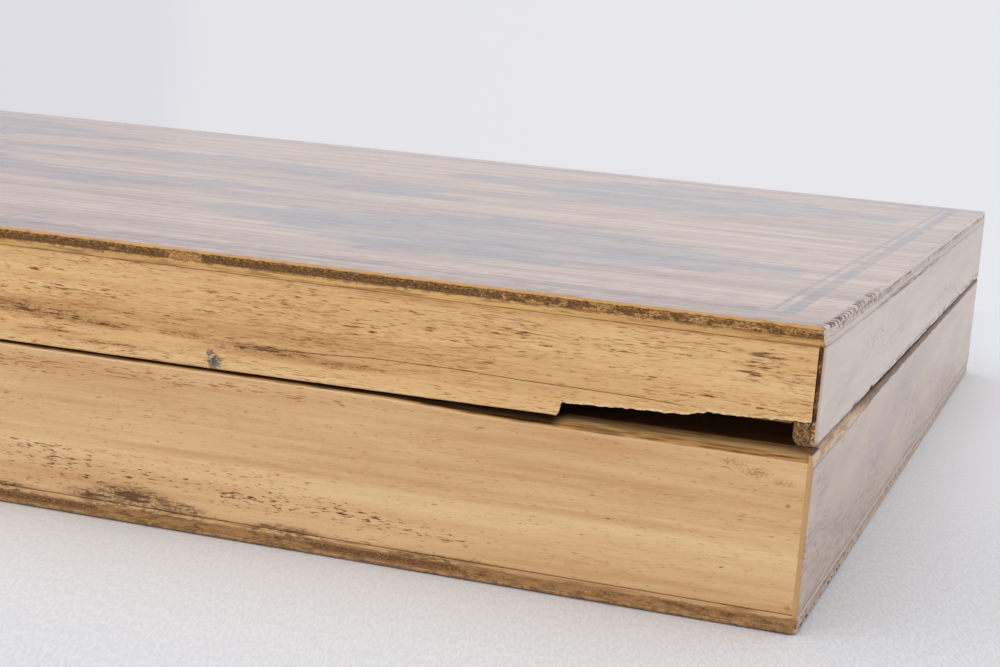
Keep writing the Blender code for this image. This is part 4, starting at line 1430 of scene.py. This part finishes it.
def block(low, high, bevel, seg=3):
    """A box with rounded edges."""
    bm = bmesh.new()
    bmesh.ops.create_cube(bm, size=1.0)
    bmesh.ops.scale(bm, vec=Vector(high) - Vector(low), verts=bm.verts)
    bmesh.ops.translate(bm, vec=(Vector(high) + Vector(low)) / 2,
                        verts=bm.verts)
    if bevel:
        bmesh.ops.bevel(bm, geom=list(bm.edges), offset=bevel, segments=seg,
                        profile=0.5, affect="EDGES")
    mesh = bpy.data.meshes.new("block")
    bm.to_mesh(mesh)
    bm.free()
    return mesh


def hollow_profile(radius, depth, floor_r):
    """(radius, depth below the face): rounded lip, curved wall, dished floor."""
    pts = [(radius + 0.0008, -0.0030), (radius + 0.0008, -0.00001)]
    r0 = radius - 0.0004
    for k in range(7):                      # lip, rolled over
        ang = pi / 2 * k / 6
        pts.append((r0 + 0.0011 - 0.0011 * sin(ang) * 1.0,
                    0.0011 * (1 - cos(ang)) + 0.00001))
    wall_top = 0.0011
    for k in range(1, 15):                  # wall sweeping into the floor
        ang = pi / 2 * k / 14
        pts.append((floor_r + (r0 - floor_r) * cos(ang),
                    wall_top + (depth - wall_top - 0.0006) * sin(ang)))
    for f in (0.66, 0.33):                  # slightly dished floor
        pts.append((floor_r * f, depth - 0.0006 + 0.0005 * (1 - f * f)))
    return pts


def round_cutter(cx, cy, face, sign, prof, seg=96):
    verts, faces = [], []
    for r, d in prof:
        for k in range(seg):
            a = 2 * pi * (k + 0.5) / seg
            verts.append((cx + r * cos(a), cy + r * sin(a), face - sign * d))
    n = len(prof)
    for j in range(n - 1):
        for k in range(seg):
            m = (k + 1) % seg
            faces.append((j * seg + k, j * seg + m, (j + 1) * seg + m,
                          (j + 1) * seg + k))
    faces.append(tuple(range(seg)))
    verts.append((cx, cy, face - sign * (prof[-1][1] + 0.00002)))
    c = len(verts) - 1
    for k in range(seg):
        faces.append(((n - 1) * seg + k, (n - 1) * seg + (k + 1) % seg, c))
    return mesh_of(verts, faces)


def long_cutter(cx, half, face, sign, prof, seg=40):
    """Long hollow with round ends, along Y."""
    def outline(r):
        pts = []
        for k in range(seg + 1):
            a = pi * k / seg
            pts.append((cx + r * cos(a), half + r * sin(a)))
        for k in range(seg + 1):
            a = pi + pi * k / seg
            pts.append((cx + r * cos(a), -half + r * sin(a)))
        return pts
    rings = [[(x, y, face - sign * d) for x, y in outline(max(r, 0.0004))]
             for r, d in prof]
    n = len(rings[0])
    verts = [p for r in rings for p in r]
    faces = []
    for j in range(len(rings) - 1):
        for k in range(n):
            m = (k + 1) % n
            faces.append((j * n + k, j * n + m, (j + 1) * n + m,
                          (j + 1) * n + k))
    faces.append(tuple(range(n)))
    faces.append(tuple(range((len(rings) - 1) * n, len(rings) * n)))
    return mesh_of(verts, faces)


def mark_hollow(mesh, face, depth):
    values = [min(1.0, max(0.0, (abs(v.co.z - face) - 0.0008) / depth))
              for v in mesh.vertices]
    a = mesh.attributes.new("hollow", "FLOAT", "POINT")
    a.data.foreach_set("value", values)


PIT_R, PIT_FLOOR, PIT_DEPTH = 0.0408, 0.0245, 0.0102
STORE_LEN, STORE_R = 0.2500, 0.0262

for body, up in (("base", True), ("lid", False)):
    sign = 1.0 if up else -1.0
    for part in ("front", "back"):
        node = "%s_pit_board_%s" % (body, part)
        lo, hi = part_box(node)
        face = hi.z if up else lo.z
        mesh = block(lo, hi, 0.0007)
        length = hi.x - lo.x
        prof = hollow_profile(PIT_R, PIT_DEPTH, PIT_FLOOR)
        tools = [round_cutter(lo.x + length * k / 6, (lo.y + hi.y) / 2, face,
                              sign, prof) for k in (1, 3, 5)]
        mesh = cut(mesh, tools)
        mark_hollow(mesh, face, PIT_DEPTH)
        dress(node + "_wood", mesh, MAT["board_a"], body, (node,),
              0.55)
    node = "%s_store_board" % body
    lo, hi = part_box(node)
    face = hi.z if up else lo.z
    prof = hollow_profile(STORE_R, 0.0102, 0.0120)[:-2]
    prof.append((0.0050, 0.0102 - 0.00025))
    tool = long_cutter((lo.x + hi.x) / 2, STORE_LEN / 2 - 0.027, face, sign,
                       prof)
    mesh = cut(block(lo, hi, 0.0007), [tool])
    mark_hollow(mesh, face, 0.0102)
    dress(node + "_wood", mesh, MAT["board_b"], body, (node,),
          0.55)

for label in ("hinge_side", "middle", "outer_side"):
    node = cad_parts["base_batten_" + label]
    node.data.materials.clear()
    node.data.materials.append(MAT["batten"])


# ---- hinges --------------------------------------------------------------------
def tube_mesh(radius, y0, y1, x, z, seg=64, chamfer=0.00012):
    verts, faces = [], []
    stations = [(y0, radius - chamfer), (y0 + chamfer, radius),
                (y1 - chamfer, radius), (y1, radius - chamfer)]
    for y, r in stations:
        for k in range(seg):
            a = 2 * pi * (k + 0.5) / seg
            verts.append((x + r * cos(a), y, z + r * sin(a)))
    for j in range(3):
        for k in range(seg):
            m = (k + 1) % seg
            faces.append((j * seg + k, j * seg + m, (j + 1) * seg + m,
                          (j + 1) * seg + k))
    faces.append(tuple(range(seg)))
    faces.append(tuple(range(3 * seg, 4 * seg)))
    return mesh_of(verts, faces)


def cone_x(x0, r0, x1, r1, y, z, seg=48):
    verts = []
    for x, r in ((x0, r0), (x1, r1)):
        for k in range(seg):
            a = 2 * pi * (k + 0.5) / seg
            verts.append((x, y + r * cos(a), z + r * sin(a)))
    faces = [(k, (k + 1) % seg, seg + (k + 1) % seg, seg + k)
             for k in range(seg)]
    faces.append(tuple(range(seg)))
    faces.append(tuple(range(seg, 2 * seg)))
    return mesh_of(verts, faces)


def leaf_plate(x0, x1, y0, y1, z_near, z_far, r=0.0020, seg=8):
    """Flat leaf with rounded far corners and softened outer edges."""
    s = 1.0 if z_far > z_near else -1.0
    outline = [(y0, z_near), (y1, z_near)]
    for cy, start in ((y1 - r, 0), (y0 + r, 90)):
        for k in range(seg + 1):
            a = radians(start + 90.0 * k / seg)
            outline.append((cy + r * cos(a), z_far - s * r + s * r * sin(a)))
    mid = ((y0 + y1) / 2, (z_near + z_far) / 2)
    rings = []
    for x, inset in ((x1, 0.0), (x0 + 0.00012, 0.0), (x0, 0.00012)):
        ring = []
        for y, z in outline:
            dy = inset if y < mid[0] else -inset
            dz = inset if z < mid[1] else -inset
            ring.append((x, y + dy, z + dz))
        rings.append(ring)
    n = len(outline)
    verts = [p for q in rings for p in q]
    faces = []
    for j in range(2):
        for k in range(n):
            m = (k + 1) % n
            faces.append((j * n + k, j * n + m, (j + 1) * n + m,
                          (j + 1) * n + k))
    faces.append(tuple(range(n)))
    faces.append(tuple(range(2 * n, 3 * n)))
    return mesh_of(verts, faces)


def screw_mesh(y, z):
    """Slotted countersunk screw laid along X, head at -X."""
    head = X0 - LEAF_T - GAP + 0.00012
    prof = [(0.0, head), (0.0013, head + 0.00003), (0.00180, head + 0.00014),
            (0.00186, head + 0.00026), (0.0009, head + 0.0011),
            (0.0009, head + 0.0030), (0.0004, head + 0.0041)]
    seg = 40
    verts, faces = [(prof[0][1], y, z)], []
    for r, x in prof[1:]:
        for k in range(seg):
            a = 2 * pi * (k + 0.5) / seg
            verts.append((x, y + r * cos(a), z + r * sin(a)))
    n = len(prof) - 1
    for k in range(seg):
        faces.append((0, 1 + k, 1 + (k + 1) % seg))
    for j in range(n - 1):
        for k in range(seg):
            m = (k + 1) % seg
            faces.append((1 + j * seg + k, 1 + j * seg + m,
                          1 + (j + 1) * seg + m, 1 + (j + 1) * seg + k))
    faces.append(tuple(1 + (n - 1) * seg + k for k in range(seg)))
    body = mesh_of(verts, faces)
    slot = block((head - 0.0010, y - 0.00021, z - 0.0030),
                 (head + 0.00052, y + 0.00021, z + 0.0030), 0.0)
    turn = 0.5 + 2.1 * abs(fbm(y * 90, z * 300))
    slot.transform(Matrix.Translation((0, y, z)) @ Matrix.Rotation(
        turn, 4, "X") @ Matrix.Translation((0, -y, -z)))
    return cut(body, [slot])


for label in ("front", "back"):
    lo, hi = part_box("hinge_%s_pin" % label)
    y_mid = (lo.y + hi.y) / 2
    ya = y_mid - HINGE_LEN / 2
    step = HINGE_LEN / 3
    lx1 = X0 - GAP
    lx0 = lx1 - LEAF_T
    spans = [(ya + k * step + (0.00015 if k else 0.0),
              ya + (k + 1) * step - (0.00015 if k < 2 else 0.0))
             for k in range(3)]
    for body, s, own in (("base", -1.0, (0, 2)), ("lid", 1.0, (1,))):
        clear = AXIS_Z + s * (KNUCKLE_R + 0.0003)
        far = AXIS_Z + s * LEAF_H
        mesh = leaf_plate(lx0, lx1, ya + 0.0001, ya + HINGE_LEN - 0.0001,
                          clear, far)
        adds = []
        for k in own:
            a, b = spans[k]
            zs = sorted((AXIS_Z + s * 0.0002, clear + s * 0.002))
            adds.append(block((lx0 + 0.00013, a + 0.0002, zs[0]),
                              (lx1 - 0.00005, b - 0.0002, zs[1]), 0.0))
            adds.append(tube_mesh(KNUCKLE_R, a, b, AXIS_X, AXIS_Z))
        mesh = cut(mesh, adds, "UNION")
        cuts = [tube_mesh(BORE_R, ya - 0.002, ya + HINGE_LEN + 0.002, AXIS_X,
                          AXIS_Z, 48)]
        for dy in (-SCREW_OFF_Y, SCREW_OFF_Y):
            z = AXIS_Z + s * SCREW_OFF_Z
            cuts.append(cone_x(lx0 - 0.0003, 0.00235, lx1 + 0.0003, 0.00095,
                               y_mid + dy, z))
        mesh = cut(mesh, cuts)
        node = "hinge_%s_%s_leaf" % (label, body)
        dress(node + "_brass", mesh, MAT["brass"], body, (node,),
              0.5)
        for k, dy in enumerate((-SCREW_OFF_Y, SCREW_OFF_Y)):
            node = "screw_%s_%s_%d" % (label, body, k + 1)
            z = AXIS_Z + s * SCREW_OFF_Z
            dress(node + "_slotted", screw_mesh(y_mid + dy, z), MAT["brass"],
                  body, (node,), 0.5)
    node = "hinge_%s_pin" % label
    dress(node + "_steel", tube_mesh(PIN_R, lo.y, hi.y, AXIS_X, AXIS_Z, 48,
                                     0.0002),
          MAT["pin"], "base", (node,), 0.5)


# --------------------------------------------------------- floor, light, view
def floor_material():
    """Matt pale surface with a fine pressed grain."""
    t = Tree("studio_floor")
    u = t.add(t.mul(t.x, 0.954), t.mul(t.y, 0.298))
    v = t.sub(t.mul(t.y, 0.954), t.mul(t.x, 0.298))
    grain = t.noise(t.stretch(t.vec(u, v, 0.0), (1.75, 0.46, 1.0)), 2, 0.6)
    tone = t.noise(t.stretch(t.p, (0.004, 0.004, 0.004)), 2, 0.5)
    c = t.mix(tone, (211, 213, 216), (216, 218, 221))
    # painted light: the surface is paler in front of the case and to its right, lifting the shade
    # the case casts there
    far = t.mul(t.band(t.y, -150.0, 60.0), t.band(t.x, 170.0, 230.0))
    front = t.mul(t.band(t.y, -280.0, -165.0), t.band(t.x, 215.0, 120.0))
    c = t.mix(t.top(t.mul(far, 0.95), t.mul(front, 0.32)), c, (237, 240, 245))
    c = t.mix(t.mul(t.band(grain, 0.36, 0.64), 0.42), c, (240, 242, 244))
    return t.done(c, 0.7, specular=0.2)


bm = bmesh.new()
bmesh.ops.create_grid(bm, x_segments=24, y_segments=16, size=1.0)
for v in bm.verts:
    v.co = (v.co.x * 3.0, -1.335 + v.co.y * 1.665, -0.00012)
mesh = bpy.data.meshes.new("studio_floor")
bm.to_mesh(mesh)
bm.free()
mesh.materials.append(floor_material())
floor_obj = bpy.data.objects.new("studio_floor", mesh)
bpy.context.scene.collection.objects.link(floor_obj)

world = bpy.data.worlds.new("studio")
world.use_nodes = True
bpy.context.scene.world = world
wt = world.node_tree
wt.nodes.clear()


def wnode(kind, **props):
    n = wt.nodes.new(kind)
    for k, v in props.items():
        setattr(n, k, v)
    return n


w_out = wnode("ShaderNodeOutputWorld")
w_bg = wnode("ShaderNodeBackground")
wt.links.new(w_bg.outputs[0], w_out.inputs[0])
w_co = wnode("ShaderNodeTexCoord")
w_sep = wnode("ShaderNodeSeparateXYZ")
wt.links.new(w_co.outputs["Generated"], w_sep.inputs[0])


def w_range(src, lo, hi, a, b):
    n = wnode("ShaderNodeMapRange", interpolation_type="SMOOTHSTEP")
    wt.links.new(src, n.inputs["Value"])
    for key, v in zip(("From Min", "From Max", "To Min", "To Max"),
                      (lo, hi, a, b)):
        n.inputs[key].default_value = v
    return n.outputs[0]


def w_mix(fac, a, b):
    n = wnode("ShaderNodeMix", data_type="RGBA")
    wt.links.new(fac, n.inputs[0])
    for k, v in ((6, a), (7, b)):
        if isinstance(v, tuple):
            n.inputs[k].default_value = v if len(v) == 4 else lin(v)
        else:
            wt.links.new(v, n.inputs[k])
    return n.outputs[2]


def grey(r, g, b, k=1.0):
    c = lin((r, g, b))
    return (c[0] * k, c[1] * k, c[2] * k, 1.0)


wall = w_mix(w_range(w_sep.outputs[0], -0.47, -0.44, 0.0, 1.0),
             grey(222, 221, 228), grey(229, 229, 234))
wall = w_mix(w_range(w_sep.outputs[0], -0.42, 0.10, 0.0, 1.0), wall,
             grey(233, 233, 238))
# overhead diffuser, brighter light behind the viewpoint, floor tone below
sky = w_mix(w_range(w_sep.outputs[2], 0.22, 0.75, 0.0, 1.0), wall,
            grey(240, 240, 244, 1.0))
back = w_mix(w_range(w_sep.outputs[1], 0.10, -0.45, 0.0, 1.0), sky,
             grey(238, 236, 235, 1.05))
below = w_mix(w_range(w_sep.outputs[2], -0.13, -0.22, 0.0, 1.0), back,
              grey(227, 228, 232))
wt.links.new(below, w_bg.inputs[0])
w_bg.inputs[1].default_value = 1.0


def area(name, loc, target, size, power, colour):
    lamp = bpy.data.lights.new(name, "AREA")
    lamp.shape = "SQUARE"
    lamp.size = size
    lamp.energy = power
    lamp.color = colour
    obj = bpy.data.objects.new(name, lamp)
    obj.location = loc
    d = Vector(target) - Vector(loc)
    obj.rotation_euler = d.to_track_quat("-Z", "Y").to_euler()
    bpy.context.scene.collection.objects.link(obj)
    return obj


area("key_softbox", (-0.55, -1.5, 0.75), (0.0, -0.1, 0.02), 1.9, 7.5,
     (1.0, 0.99, 0.975))
area("top_softbox", (0.4, 0.3, 2.0), (0.05, 0.0, 0.0), 2.2, 6.0,
     (0.985, 0.99, 1.0))

cam_data = bpy.data.cameras.new("view")
cam_data.sensor_width = 36.0
cam_data.lens = 71.3167
cam_data.clip_start = 0.01
cam_data.clip_end = 50.0
cam = bpy.data.objects.new("view", cam_data)
cam.matrix_world = Matrix((
    (0.947498, -0.123244, 0.295057, 0.243001),
    (0.309000, 0.115510, -0.944022, -0.469912),
    (0.082263, 0.985631, 0.147528, 0.091293),
    (0.0, 0.0, 0.0, 1.0)))
bpy.context.scene.collection.objects.link(cam)
bpy.context.scene.camera = cam
bpy.context.scene.view_settings.view_transform = "Standard"
bpy.context.scene.view_settings.look = "None"
